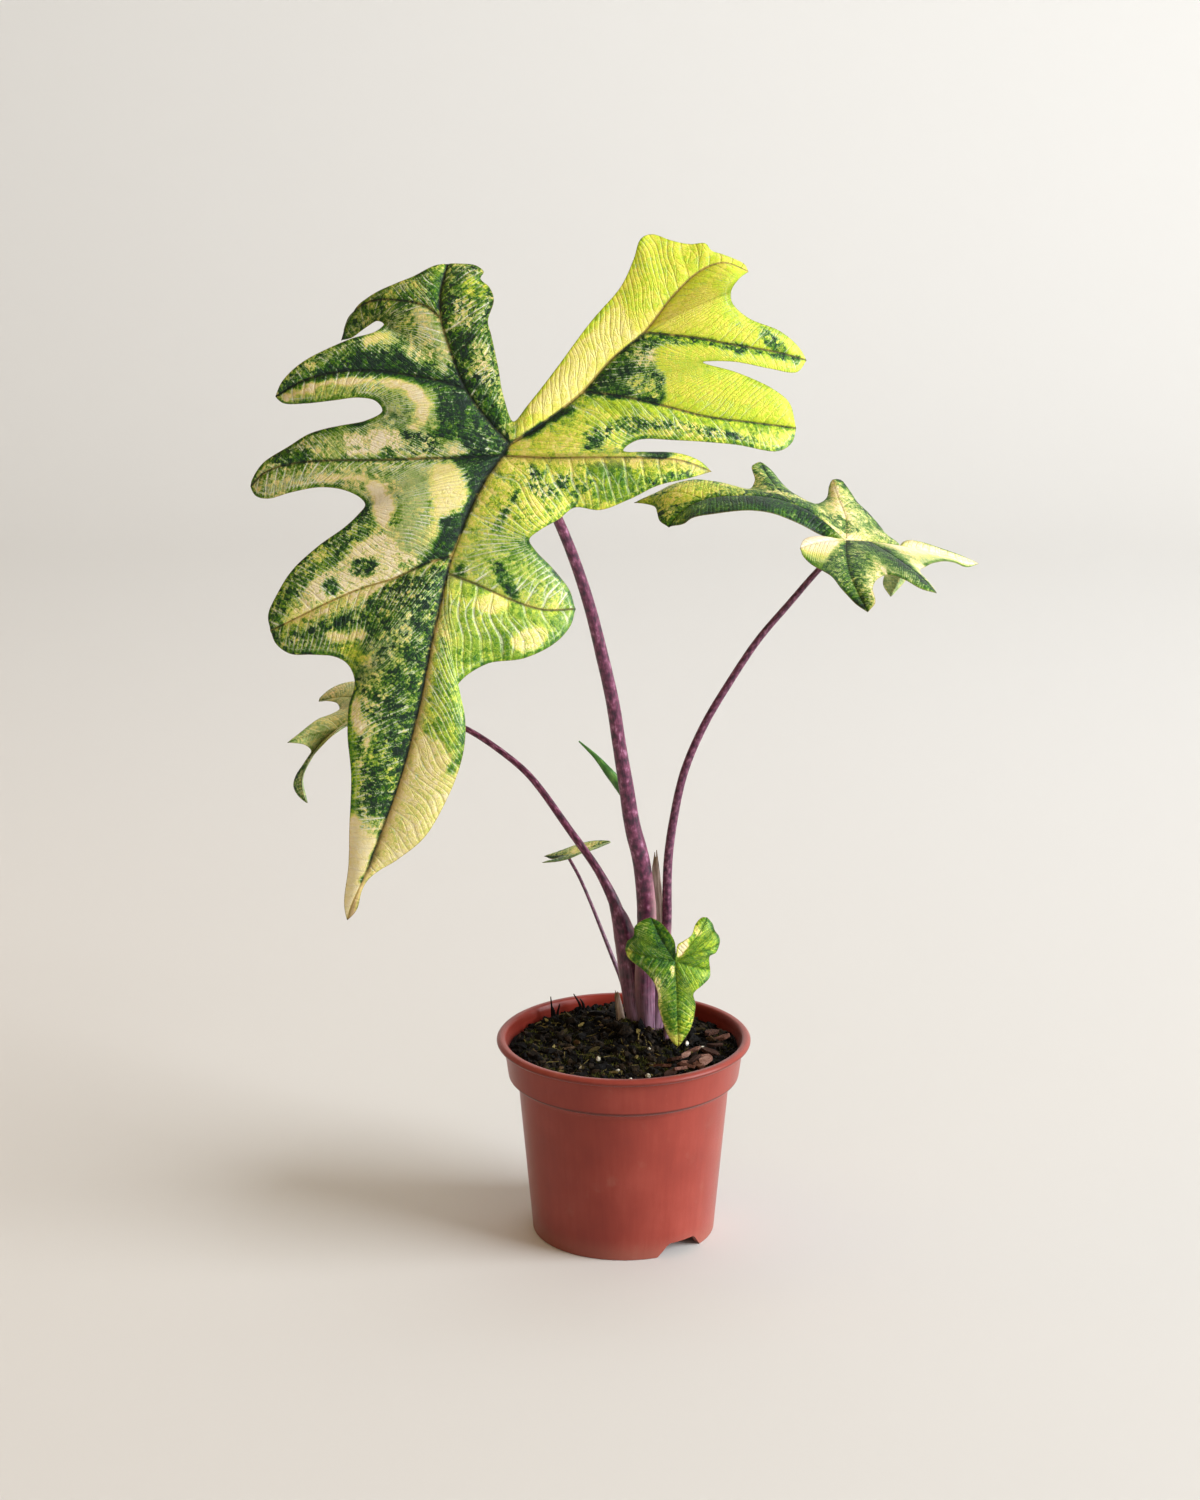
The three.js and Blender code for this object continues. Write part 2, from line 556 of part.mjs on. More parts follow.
const LEFT_LEAF = {
  keel: 1,
  perKnot: 2,
  across: ACROSS_SMALL,
  ribs: {
    midrib: { knots: [[0, 0, 0], [-13.5, -4, -4], [-25, -4, -10.5], [-33.5, -1, -18],
      [-40, 4, -27.5], [-45, 9, -40], [-43, 11, -53]] },
    near_mid: { from: ['midrib', 1], knots: [[-11.5, -20, -9.5], [-9, -32, -14.5],
      [-5.5, -42, -19]] },
    near_back: { knots: [[0, 0, 0], [8.5, -16, -1.5], [16, -33, -6], [24, -48, -13]] },
    far_back: { knots: [[0, 0, 0], [3.5, 14, 0], [9.5, 29, 2], [18, 44, 2]] },
    far_high: { knots: [[0, 0, 0], [-13.5, 18, -2], [-26.5, 31, -4.5], [-38.5, 40, -9]] },
    far_low: { from: ['midrib', 2], knots: [[-34.5, -6, -12], [-42.5, -10, -13],
      [-49.5, -16, -14]] },
  },
  webs: [
    ['midrib', 'near_mid', 4, [[-44, 8, -48], [-44.5, 5, -39.5], [-40, -2, -27], [-32.5, -11, -16],
      [-21.5, -20, -4.5], [-16, -30, -7], [-11.5, -38, -13]]],
    ['near_mid', 'near_back', 2, [[-1, -39, -14], [0.5, -32, -7], [4.5, -27, -3], [9.5, -36, -6],
      [16, -44, -10.5]]],
    ['near_back', 'far_back', 4, [[26, -42, -9], [22.5, -32, -3], [14.5, -20, 0], [7, -10, 1.5],
      [4, 2, 0.5], [9, 12, 1], [15, 24, 2], [19, 36, 3]]],
    ['far_back', 'far_high', 2, [[12, 45, 2], [2, 38, 1], [-7, 38, 0], [-22.5, 50, -1.5],
      [-29.5, 49, -3.5], [-34.5, 46, -6]]],
    ['far_high', 'far_low', 2, [[-33.5, 34, -7.5], [-28.5, 27, -6.5], [-26.5, 17, -7],
      [-28.5, 13, -7], [-36, 4, -8], [-44.5, -8, -12]]],
    ['far_low', 'midrib', 2, [[-43, -13, -15.5], [-40, -6, -19.5], [-39.5, 0, -23.5],
      [-43, 6, -30], [-47.5, 12, -38], [-49.5, 15, -45], [-47.5, 14, -49.5]]],
  ],
};

const BACK_LEAF = {
  keel: 0.6,
  perKnot: 1,
  across: ACROSS_SMALL,
  ribs: {
    midrib: { knots: [[0, 0, 0], [6, 0, 1.5], [13, 1, 3.5], [20, 1, 6.5]] },
    far_back: { knots: [[0, 0, 0], [-6, 6, -2], [-12.5, 13, -4.5]] },
    near_back: { knots: [[0, 0, 0], [-6, -6, 0], [-13, -12, 0.5]] },
  },
  webs: [
    ['midrib', 'far_back', 2, [[15, 7, 5], [7.5, 13, 2], [1, 16, -1], [-6.5, 17, -4]]],
    ['far_back', 'near_back', 1, [[-9, 7, -4], [-4, 1, -1], [-9, -5, -1]]],
    ['near_back', 'midrib', 1, [[-6, -16, 2], [1, -17, 4], [8, -13, 5.5], [15, -6, 6.5]]],
  ],
};

const FRONT_LEAF = {
  keel: 0.7,
  perKnot: 1,
  across: ACROSS_SMALL,
  ribs: {
    midrib: { knots: [[0, 0, 0], [0.5, -11, 1], [1, -25, 1], [1.5, -41.5, -4]] },
    left_high: { knots: [[0, 0, 0], [-5.5, 8.5, 0], [-11.5, 20, -5]] },
    left_low: { knots: [[0, 0, 0], [-9.5, 1.5, 0], [-16.5, 3, -2], [-23.5, 4.5, -6]] },
    right_low: { knots: [[0, 0, 0], [8, -2.5, 0], [16.5, -4.5, -4]] },
    right_mid: { knots: [[0, 0, 0], [7.5, 3.5, 0], [14.5, 5, -1], [21, 8, -4]] },
    right_high: { knots: [[0, 0, 0], [7, 8, 1], [11.5, 14, 0], [15, 20, -4]] },
  },
  webs: [
    ['left_high', 'left_low', 2, [[-15.5, 18.5, -5], [-19, 15.5, -4], [-19.5, 11.5, -3],
      [-22.5, 8.5, -5]]],
    ['left_low', 'midrib', 3, [[-21.5, 0.5, -4], [-15, -4.5, -1], [-10, -10, 1], [-8, -15.5, 1],
      [-8, -21, 0], [-5.5, -30, -1], [-2.5, -37, -3]]],
    ['midrib', 'right_low', 3, [[4.5, -37, -3], [7.5, -31.5, -2], [9.5, -20.5, 0], [8.5, -15, 1],
      [13, -11, 0], [16, -8, -2]]],
    ['right_low', 'right_mid', 1, [[16, -1.5, -2], [16, 2, -1], [19, 3.5, -3]]],
    ['right_mid', 'right_high', 1, [[20.5, 11, -4], [18.5, 14, -3], [17.5, 17, -4]]],
    ['right_high', 'left_high', 5, [[12.5, 20, -4], [9.5, 17, -2], [7.5, 12.5, 1], [4, 10, 2],
      [1, 8, 2], [0.5, 3, 1], [-0.5, 10, 1], [-3.5, 14.5, 0], [-7, 18, -3]]],
  ],
};

// All samples of a leaf's ribs, each under a key that child ribs share at their root
function ribSamples(leaf) {
  const samples = new Map();
  const homeward = {};
  const keyAt = (name, sample) => {
    const rib = leaf.ribs[name];
    if (sample > 0) {
      return `${name}:${sample}`;
    }
    return rib.from ? keyAt(rib.from[0], rib.from[1] * leaf.perKnot) : 'heart';
  };
  for (const [name, rib] of Object.entries(leaf.ribs)) {
    const root = rib.from ? [leaf.ribs[rib.from[0]].knots[rib.from[1]]] : [];
    const knots = [...root, ...rib.knots].map((knot) => new THREE.Vector3(...knot));
    const curve = new THREE.CatmullRomCurve3(knots, false, 'centripetal');
    const count = (knots.length - 1) * leaf.perKnot;
    const rootKeel = rib.from ? BRANCH_KEEL * leaf.keel : leaf.keel;
    for (let sample = 0; sample <= count; sample += 1) {
      const key = keyAt(name, sample);
      if (!samples.has(key)) {
        const keel = lerp(rootKeel, TIP_KEEL * leaf.keel, sample / count);
        samples.set(key, { point: curve.getPoint(sample / count), keel });
      }
    }
    rib.count = count;
    const own = [];
    for (let sample = count; sample > 0; sample -= 1) {
      own.push(keyAt(name, sample));
    }
    homeward[name] = own;
  }
  for (const [name, rib] of Object.entries(leaf.ribs)) {
    let above = rib.from;
    while (above) {
      for (let sample = above[1] * leaf.perKnot; sample > 0; sample -= 1) {
        homeward[name].push(keyAt(above[0], sample));
      }
      above = leaf.ribs[above[0]].from;
    }
    homeward[name].push('heart');
  }
  return { samples, homeward };
}

// Lengths along a chain of points, from its first to each
function runningLengths(points) {
  const lengths = [0];
  for (let index = 1; index < points.length; index += 1) {
    lengths.push(lengths[index - 1] + points[index].distanceTo(points[index - 1]));
  }
  return lengths;
}

// The point of a dense chain that lies a given share along it
function pointAtShare(points, lengths, share) {
  const target = share * lengths[lengths.length - 1];
  let index = 1;
  while (index < points.length - 1 && lengths[index] < target) {
    index += 1;
  }
  const span = lengths[index] - lengths[index - 1];
  const part = span > 0 ? (target - lengths[index - 1]) / span : 0;
  return points[index - 1].clone().lerp(points[index], Math.min(Math.max(part, 0), 1));
}

// Matches one side of a web's margin to the rib points that it faces.
// Where the ribs' way is longer than the margin's, the margin's points crowd to the sinus.
function matchMargin(ribPoints, marginPoints) {
  const ribLengths = runningLengths(ribPoints);
  const marginLengths = runningLengths(marginPoints);
  const ribTotal = ribLengths[ribLengths.length - 1];
  const marginTotal = marginLengths[marginLengths.length - 1];
  const crowd = Math.min(Math.max(ribTotal / marginTotal, 1), MOST_CROWDED);
  return ribLengths.map((length) => {
    const share = 1 - (1 - length / ribTotal) ** crowd;
    return pointAtShare(marginPoints, marginLengths, share);
  });
}

// The chain of rib keys from one tip to the other, and the key that faces the sinus
function webChain(first, second, ribs, rib) {
  const up = rib.homeward[first];
  const down = rib.homeward[second];
  const meet = up.findIndex((key) => down.includes(key));
  const back = down.indexOf(up[meet]);
  const chain = [...up.slice(0, meet + 1), ...down.slice(0, back).reverse()];
  const leave = Math.min(ribs[first].count, meet);
  const arrive = chain.length - 1 - Math.min(ribs[second].count, back);
  const points = chain.map((key) => rib.samples.get(key).point);
  const lengths = runningLengths(points);
  const middle = (lengths[leave] + lengths[arrive]) / 2;
  let turn = leave;
  for (let index = leave; index <= arrive; index += 1) {
    if (Math.abs(lengths[index] - middle) < Math.abs(lengths[turn] - middle)) {
      turn = index;
    }
  }
  return { chain, points, turn };
}

const CURVE_STEPS = 10;

// The middle surface of a blade: shared vertices, faces counter-clockwise from above, rim
function bladeSurface(leaf) {
  const rib = ribSamples(leaf);
  const vertices = [];
  const places = new Map();
  const faces = [];
  const rim = [];
  const vertexAt = (key, point, keel) => {
    if (!places.has(key)) {
      places.set(key, vertices.push({ point, keel }) - 1);
    }
    return places.get(key);
  };
  for (const [first, second, sinus, margin] of leaf.webs) {
    const { chain, points, turn } = webChain(first, second, leaf.ribs, rib);
    const knots = [points[0], ...margin.map((knot) => new THREE.Vector3(...knot)),
      points[points.length - 1]];
    const curve = new THREE.CatmullRomCurve3(knots, false, 'centripetal');
    const dense = [];
    for (let step = 0; step <= (knots.length - 1) * CURVE_STEPS; step += 1) {
      dense.push(curve.getPoint(step / ((knots.length - 1) * CURVE_STEPS)));
    }
    const deepest = (sinus + 1) * CURVE_STEPS;
    const going = matchMargin(points.slice(0, turn + 1), dense.slice(0, deepest + 1));
    const coming = matchMargin(points.slice(turn).reverse(), dense.slice(deepest).reverse());
    const edge = [...going, ...coming.reverse().slice(1)];
    const rows = chain.map((key, row) => {
      const sample = rib.samples.get(key);
      const width = sample.point.distanceTo(edge[row]);
      return leaf.across.map((share, column) => {
        if (column === 0 || row === 0 || row === chain.length - 1) {
          return vertexAt(key, sample.point, sample.keel);
        }
        const point = sample.point.clone().lerp(edge[row], share);
        point.z += DOME * width * 4 * share * (1 - share);
        return vertexAt(`${first}/${second}:${row}:${column}`, point, 0);
      });
    });
    for (let row = 0; row < rows.length - 1; row += 1) {
      for (let column = 0; column < leaf.across.length - 1; column += 1) {
        const a = rows[row][column];
        const b = rows[row][column + 1];
        const c = rows[row + 1][column + 1];
        const d = rows[row + 1][column];
        if (a !== b) {
          faces.push([a, b, c]);
        }
        if (c !== d) {
          faces.push([a, c, d]);
        }
      }
      rim.push([rows[row][leaf.across.length - 1], rows[row + 1][leaf.across.length - 1]]);
    }
  }
  return { vertices, faces, rim };
}

function surfaceNormals(vertices, faces) {
  const normals = vertices.map(() => new THREE.Vector3());
  for (const [a, b, c] of faces) {
    const one = vertices[b].point.clone().sub(vertices[a].point);
    const two = vertices[c].point.clone().sub(vertices[a].point);
    one.cross(two);
    normals[a].add(one);
    normals[b].add(one);
    normals[c].add(one);
  }
  return normals.map((normal) => normal.normalize());
}

// A closed blade: an upper skin sunk a little over the ribs, a lower skin that they keel
function bladeGeometry(leaf) {
  const { vertices, faces, rim } = bladeSurface(leaf);
  const normals = surfaceNormals(vertices, faces);
  const count = vertices.length;
  const upper = vertices.map(({ point, keel }, index) => {
    const lift = BLADE_THICKNESS / 2 - (keel > 0 ? RIB_GROOVE : 0);
    return point.clone().addScaledVector(normals[index], lift).toArray();
  });
  const lower = vertices.map(({ point, keel }, index) => {
    const drop = BLADE_THICKNESS / 2 + keel;
    return point.clone().addScaledVector(normals[index], -drop).toArray();
  });
  const triangles = [];
  for (const [a, b, c] of faces) {
    triangles.push([a, b, c], [a + count, c + count, b + count]);
  }
  for (const [a, b] of rim) {
    triangles.push([a, a + count, b + count], [a, b + count, b]);
  }
  return geometryFrom([...upper, ...lower], triangles);
}

// The young leaf: its thin stalk hides behind the big petiole, and its rolled tip leans out
const YOUNG_LEAF = [
  [11.5, 18.5, CLASP_TOP_Z + GAP, 1.5, 1.3],
  [11, 16.4, 159, 1.6, 1.3],
  [8.5, 13, 179.5, 1.6, 1.4],
  [4.5, 9.5, 198, 1.7, 1.5],
  [1.5, 6.5, 211, 2, 1.6],
  [-2.5, 5, 219, 2.4, 1.6],
  [-7, 6, 225, 2.2, 1.3],
  [-13, 9, 231.5, 1.2, 0.8],
  [-21, 13, 238, 0.35, 0.35],
];

// The papery remains of an old leaf's sheath, standing between two petioles
const DRY_SHEATH = [
  [16.6, 17.2, CLASP_TOP_Z + GAP, 2.8, 0.6],
  [16.4, 15.8, 148.5, 2.7, 0.55],
  [15.8, 14.6, 164, 2.3, 0.5],
  [15, 13.6, 176, 1.6, 0.45],
  [15, 13, 181, 0.6, 0.4],
];

// The assembled plant

const plant = new THREE.Group();

function addPiece(name, geometry, finish, parent = plant) {
  const mesh = new THREE.Mesh(geometry, finish);
  mesh.name = name;
  parent.add(mesh);
  return mesh;
}

addPiece('pot', potGeometry(), material(COLOURS.pot, 0.45));
addPiece('soil', soilGeometry(), material(COLOURS.soil, 0.95));
addPiece('stem_base', geometryOf(claspedBase(0)), material(COLOURS.base, 0.5));
addPiece('petiole_main', freePetiole(MAIN_STALK, 10, 1), material(COLOURS.petiole, 0.45));
addPiece('petiole_left', freePetiole(LEFT_STALK, 8, 1), material(COLOURS.petiole, 0.45));
addPiece('petiole_right', freePetiole(RIGHT_STALK, 8, 1), material(COLOURS.petiole, 0.45));
addPiece('petiole_back', stalkGeometry(BACK_STALK, 6, 1), material(COLOURS.petiole, 0.5));
addPiece('petiole_front', stalkGeometry(FRONT_STALK, 6, 2), material(COLOURS.petiole, 0.5));
addPiece('young_leaf', stalkGeometry(YOUNG_LEAF, 8, 1), material(COLOURS.spike, 0.45));
addPiece('dry_sheath', stalkGeometry(DRY_SHEATH, 8, 1), material(COLOURS.sheath, 0.8));

// The big blade hangs from its petiole's tip and faces the front, leaning back a little
const bigLeaf = new THREE.Group();
bigLeaf.position.set(-50.1, -75, 397.4);
bigLeaf.rotation.x = degrees(90 - BIG_LEAF_TILT);
plant.add(bigLeaf);
addPiece('blade_main', bladeGeometry(MAIN_LEAF), material(COLOURS.leaf, 0.4), bigLeaf);

const frontLeaf = new THREE.Group();
frontLeaf.position.set(23.8, -20, 141);
frontLeaf.rotation.x = degrees(90 - FRONT_LEAF_TILT);
plant.add(frontLeaf);
addPiece('blade_front', bladeGeometry(FRONT_LEAF), material(COLOURS.leaf, 0.4), frontLeaf);

const rightBlade = addPiece('blade_right', bladeGeometry(RIGHT_LEAF), material(COLOURS.leaf, 0.4));
rightBlade.position.set(101.5, 12, 334.5);
const leftBlade = addPiece('blade_left', bladeGeometry(LEFT_LEAF), material(COLOURS.cream, 0.4));
leftBlade.position.set(-112, 80, 236.5);
const backBlade = addPiece('blade_back', bladeGeometry(BACK_LEAF), material(COLOURS.leaf, 0.4));
backBlade.position.set(-26, 54, 168.8);

export default plant;
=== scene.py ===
# %% [markdown]
# # A variegated jacklyn alocasia in its nursery pot
# The plant has one big, deeply lobed leaf that faces us, four smaller leaves, purple mottled stalks,
# dark potting mix and a terracotta-coloured plastic pot.
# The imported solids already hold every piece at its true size. This lesson dresses them: each solid is
# replaced by a finer mesh of the same form, and each surface gets a procedural finish.

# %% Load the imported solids
import math
import bpy
import numpy as np
from mathutils import Matrix, Vector, kdtree


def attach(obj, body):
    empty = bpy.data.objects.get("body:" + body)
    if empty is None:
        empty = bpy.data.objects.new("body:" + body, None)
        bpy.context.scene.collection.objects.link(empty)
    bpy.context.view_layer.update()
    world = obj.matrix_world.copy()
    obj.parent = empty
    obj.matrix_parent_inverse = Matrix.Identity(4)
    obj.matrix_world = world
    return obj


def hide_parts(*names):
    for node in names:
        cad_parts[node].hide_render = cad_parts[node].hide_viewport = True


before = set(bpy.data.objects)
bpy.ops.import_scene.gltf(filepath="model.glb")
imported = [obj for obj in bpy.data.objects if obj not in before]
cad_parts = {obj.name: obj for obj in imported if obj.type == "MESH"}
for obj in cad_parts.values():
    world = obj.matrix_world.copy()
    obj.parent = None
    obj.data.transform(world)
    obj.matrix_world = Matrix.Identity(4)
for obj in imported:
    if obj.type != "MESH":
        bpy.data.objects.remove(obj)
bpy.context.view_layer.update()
MM = 0.001
print("solids:", len(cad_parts))

# %% [markdown]
# ## Camera, light and floor
# The photograph looks down on the plant by about 16 degrees through a long lens, so the pot's lip shows
# as a flat ellipse and its sides hardly converge.
# The light is soft and comes from a window on the right. A large area lamp stands for that window, a weak
# one fills in from the front, a warm one stands for light that bounces back from the left, and a cool one
# washes over the paper behind. The paper is a pale sweep that curves up behind the plant, so that the
# floor has no horizon line.

# %% Camera
PITCH = math.radians(16.38)
LENS_MM = 90
SENSOR_MM = 36
CAMERA_PLACE = (-0.0112, -1.6666, 0.7274)
camera_data = bpy.data.cameras.new("camera")
camera_data.lens = LENS_MM
camera_data.sensor_width = SENSOR_MM
camera = bpy.data.objects.new("camera", camera_data)
camera.location = CAMERA_PLACE
camera.rotation_euler = (math.pi / 2 - PITCH, 0, 0)
bpy.context.scene.collection.objects.link(camera)
bpy.context.scene.camera = camera
print("camera height above the table, m:", camera.location.z)


# %% Colours and small node helpers
def colour(code):
    """A linear colour from a code such as #c0ffee."""
    parts = [int(code[at:at + 2], 16) / 255 for at in (1, 3, 5)]
    return [p / 12.92 if p <= 0.04045 else ((p + 0.055) / 1.055) ** 2.4 for p in parts] + [1.0]


class Nodes:
    """Adds shader nodes to a tree and joins them up."""

    def __init__(self, tree):
        self.tree = tree

    def put(self, socket, value):
        """Sets a socket to a value, or joins another node's output to it."""
        if isinstance(value, bpy.types.NodeSocket):
            self.tree.links.new(value, socket)
        else:
            socket.default_value = value

    def node(self, kind, inputs, **settings):
        """Adds a node. Inputs are given by name or number, as values or as other nodes' outputs."""
        made = self.tree.nodes.new("ShaderNode" + kind)
        for key, value in settings.items():
            setattr(made, key, value)
        for key, value in inputs.items():
            self.put(made.inputs[key], value)
        return made

    def parts(self, vector):
        """The three numbers of a vector, as outputs."""
        return self.node("SeparateXYZ", {0: vector}).outputs

    def ramp(self, value, stops):
        """Runs a number through a row of colours, each given with its place in the row."""
        made = self.node("ValToRGB", {0: value})
        points = made.color_ramp.elements
        while len(points) < len(stops):
            points.new(1.0)
        for point, (place, code) in zip(points, stops):
            point.position = place
            point.color = colour(code)
        return made.outputs[0]


print("helper ready: a colour such as #b84c3e is", [round(c, 3) for c in colour("#b84c3e")[:3]])


# %% Finishes
class Finish(Nodes):
    """One procedural material, built up node by node."""

    def __init__(self, name, **surface):
        self.material = bpy.data.materials.new(name)
        self.material.use_nodes = True
        super().__init__(self.material.node_tree)
        self.shader = self.tree.nodes["Principled BSDF"]
        for socket, value in surface.items():
            self.shader.inputs[socket.replace("_", " ")].default_value = value

    def math(self, operation, *values):
        return self.node("Math", dict(enumerate(values)), operation=operation).outputs[0]

    def less(self, first, second):
        return self.math("SUBTRACT", first, second)

    def times(self, first, second):
        return self.math("MULTIPLY", first, second)

    def times_plus(self, first, second, third):
        """The product of the first two, plus the third."""
        return self.math("MULTIPLY_ADD", first, second, third)

    def number(self, attribute):
        """A number that the mesh holds at each vertex."""
        return self.node("Attribute", {}, attribute_name=attribute).outputs["Fac"]

    def step(self, value, low, high, start=0.0, end=1.0):
        """Goes smoothly from start to end while the value goes from low to high."""
        inputs = {0: value, 1: low, 2: high, 3: start, 4: end}
        return self.node("MapRange", inputs, interpolation_type="SMOOTHSTEP").outputs[0]

    def line(self, distance, half_width, soft):
        """A line that is 1 at its middle and fades out past its half width."""
        return self.step(distance, half_width, half_width + soft, 1.0, 0.0)

    def object_place(self):
        return self.node("TexCoord", {}).outputs["Object"]

    def stretched(self, place, *scale):
        return self.node("Mapping", {"Vector": place, "Scale": scale}).outputs[0]

    def vectors(self, operation, first, second):
        return self.node("VectorMath", {0: first, 1: second}, operation=operation).outputs

    def noise(self, place, scale, detail=2.0):
        """Cloudy noise, centred on zero."""
        inputs = {"Vector": place, "Scale": scale, "Detail": detail}
        return self.less(self.node("TexNoise", inputs).outputs[0], 0.5)

    def mix(self, amount, first, second):
        """Two colours, each a code or another node's output, mixed by the amount."""
        made = self.node("Mix", {0: amount}, data_type="RGBA")
        for socket, value in ((6, first), (7, second)):
            self.put(made.inputs[socket], colour(value) if isinstance(value, str) else value)
        return made.outputs[2]

    def surface(self, base, roughness, height, depth_mm):
        """Joins colour, roughness and relief to the shader."""
        bump = self.node("Bump", {"Height": height, "Distance": depth_mm * MM, "Strength": 1.0})
        joined = {"Base Color": base, "Roughness": roughness, "Normal": bump.outputs[0]}
        for socket, value in joined.items():
            self.put(self.shader.inputs[socket], value)
        return self.material


print("finish helper ready")


# %% Mesh helpers
MAP_UNIT_MM = 100.0


def add_mesh(name, points_mm, faces, finish, smooth=True):
    """A mesh object from points in millimetres."""
    mesh = bpy.data.meshes.new(name)
    mesh.from_pydata((np.asarray(points_mm, float) * MM).tolist(), [], faces)
    mesh.materials.append(finish)
    mesh.update()
    mesh.shade_smooth() if smooth else mesh.shade_flat()
    made = bpy.data.objects.new(name, mesh)
    bpy.context.scene.collection.objects.link(made)
    return made


def give_numbers(piece, name, values):
    """Stores one number at each vertex, for the finish to read."""
    layer = piece.data.attributes.new(name, "FLOAT", "POINT")
    layer.data.foreach_set("value", np.asarray(values, np.float32))


def give_map(piece, name, corners_mm):
    """Stores two lengths at each corner of each face, in map units, for the finish to read."""
    layer = piece.data.uv_layers.new(name=name)
    layer.uv.foreach_set("vector", (corners_mm / MAP_UNIT_MM).astype(np.float32).ravel())


def belongs(piece, material_slot, *nodes):
    """Places a piece on the body and hides the solids that it stands for. The name of its finish is not
    used.
    """
    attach(piece, "root")
    if nodes:
        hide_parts(*nodes)


def count_line(piece):
    """Prints a piece's number of triangles."""
    corners = np.empty(len(piece.data.polygons), int)
    piece.data.polygons.foreach_get("loop_total", corners)
    print(f"{piece.name}: {int((corners - 2).sum())} triangles")


print("mesh helpers ready")


# %% Floor
SWEEP_RADIUS = 0.9
SWEEP_START = 1.4
SWEEP_STEPS = 24
PAPER_HALF_WIDTH = 14.0
PAPER_HEIGHT = 5.0


def floor_sweep():
    """A strip of pale paper: flat under the pot, then curved up into a wall behind it."""
    line = [(-PAPER_HALF_WIDTH, 0.0), (0.0, 0.0)]
    for step in range(SWEEP_STEPS + 1):
        turn = step / SWEEP_STEPS * math.pi / 2
        rise = SWEEP_RADIUS * (1 - math.cos(turn))
        line.append((SWEEP_START + SWEEP_RADIUS * math.sin(turn), rise))
    line.append((SWEEP_START + SWEEP_RADIUS, PAPER_HEIGHT))
    points = [(side * PAPER_HALF_WIDTH, y, z) for y, z in line for side in (-1, 1)]
    faces = [(2 * i, 2 * i + 1, 2 * i + 3, 2 * i + 2) for i in range(len(line) - 1)]
    paper = Finish("paper", Roughness=0.9, Specular_IOR_Level=0.2)
    paper.shader.inputs["Base Color"].default_value = colour("#dad9d5")
    return add_mesh("floor", np.array(points) / MM, faces, paper.material)


floor = floor_sweep()
print("paper width, m:", 2 * PAPER_HALF_WIDTH)


# %% Light
def soft_lamp(name, place, aim, width, height, power, tint):
    """A flat lamp whose size makes its light soft."""
    lamp = bpy.data.lights.new(name, "AREA")
    lamp.shape = "RECTANGLE"
    lamp.size = width
    lamp.size_y = height
    lamp.energy = power
    lamp.color = colour(tint)[:3]
    made = bpy.data.objects.new(name, lamp)
    made.location = place
    made.rotation_euler = (Vector(aim) - Vector(place)).to_track_quat("-Z", "Y").to_euler()
    bpy.context.scene.collection.objects.link(made)


def room_light(dim, bright):
    """Even light from all round, dimmer and warmer from the left than from the window's side."""
    world = bpy.data.worlds.new("room")
    world.use_nodes = True
    nodes = Nodes(world.node_tree)
    background = world.node_tree.nodes["Background"]
    sideways = nodes.parts(nodes.node("TexCoord", {}).outputs["Generated"])[0]
    share = nodes.node("MapRange", {0: sideways, 1: -1.0}).outputs[0]
    level = nodes.node("MapRange", {0: sideways, 1: -1.0, 3: dim, 4: bright}).outputs[0]
    nodes.put(background.inputs[0], nodes.ramp(share, [(0.0, "#ffd9a0"), (1.0, "#ffffff")]))
    nodes.put(background.inputs[1], level)
    return world


PLANT = (0, 0, 0.22)
BACKDROP = (0.5, 1.3, 0.1)
# Name, place, what it is aimed at, width, height, power and tint
LAMPS = [
    ("window", (3.2, -1.0, 1.4), PLANT, 2.4, 2.4, 219, "#f6faff"),
    ("front", (0.2, -2.6, 1.6), PLANT, 1.8, 1.2, 1.5, "#fffefc"),
    ("wash", (0.5, 0.95, 1.2), BACKDROP, 1.5, 0.9, 4.4, "#e6f1ff"),
    ("bounce", (-0.9, 0.1, 1.5), PLANT, 1.0, 1.0, 3.2, "#ffbc68"),
]
for lamp_values in LAMPS:
    soft_lamp(*lamp_values)
bpy.context.scene.world = room_light(0.1, 0.77)
bpy.context.scene.view_settings.view_transform = "Standard"
print("lamps:", len(LAMPS))

# %% [markdown]
# ## Smooth paths and seeded grain
# Stalks, ribs and leaf margins are all smooth curves through a few chosen points. The curve below passes
# through its points, and since its pace follows the square root of the gaps between them, it makes no
# loops where they lie unevenly. That suits points that were given one by one.
# Small unevenness comes from a value noise that depends only on the place and a seed, so that each run
# gives the same plant.


# %% Smooth paths and grain
def smooth_path(knots, per_span):
    """Points on a smooth curve through the knots, per_span steps from each knot to the next."""
    knots = np.asarray(knots, float)
    start = knots[:-1]
    end = knots[1:]
    before = np.vstack([2 * knots[:1] - knots[1:2], knots[:-2]])
    after = np.vstack([knots[2:], 2 * knots[-1:] - knots[-2:-1]])
    gap_a, gap_b, gap_c = (
        np.sqrt(np.maximum(np.linalg.norm((b - a)[:, :3], axis=1), 1e-6))[:, None, None]
        for a, b in ((before, start), (start, end), (end, after)))
    before, start, end, after = (part[:, None, :] for part in (before, start, end, after))
    leave = (start - before) / gap_a - (end - before) / (gap_a + gap_b) + (end - start) / gap_b
    arrive = (end - start) / gap_b - (after - start) / (gap_b + gap_c) + (after - end) / gap_c
    leave = leave * gap_b
    arrive = arrive * gap_b
    t = (np.arange(per_span) / per_span)[None, :, None]
    points = (start + leave * t + (3 * (end - start) - 2 * leave - arrive) * t ** 2
              + (2 * (start - end) + leave + arrive) * t ** 3)
    return np.vstack([points.reshape(-1, knots.shape[1]), knots[-1:]])


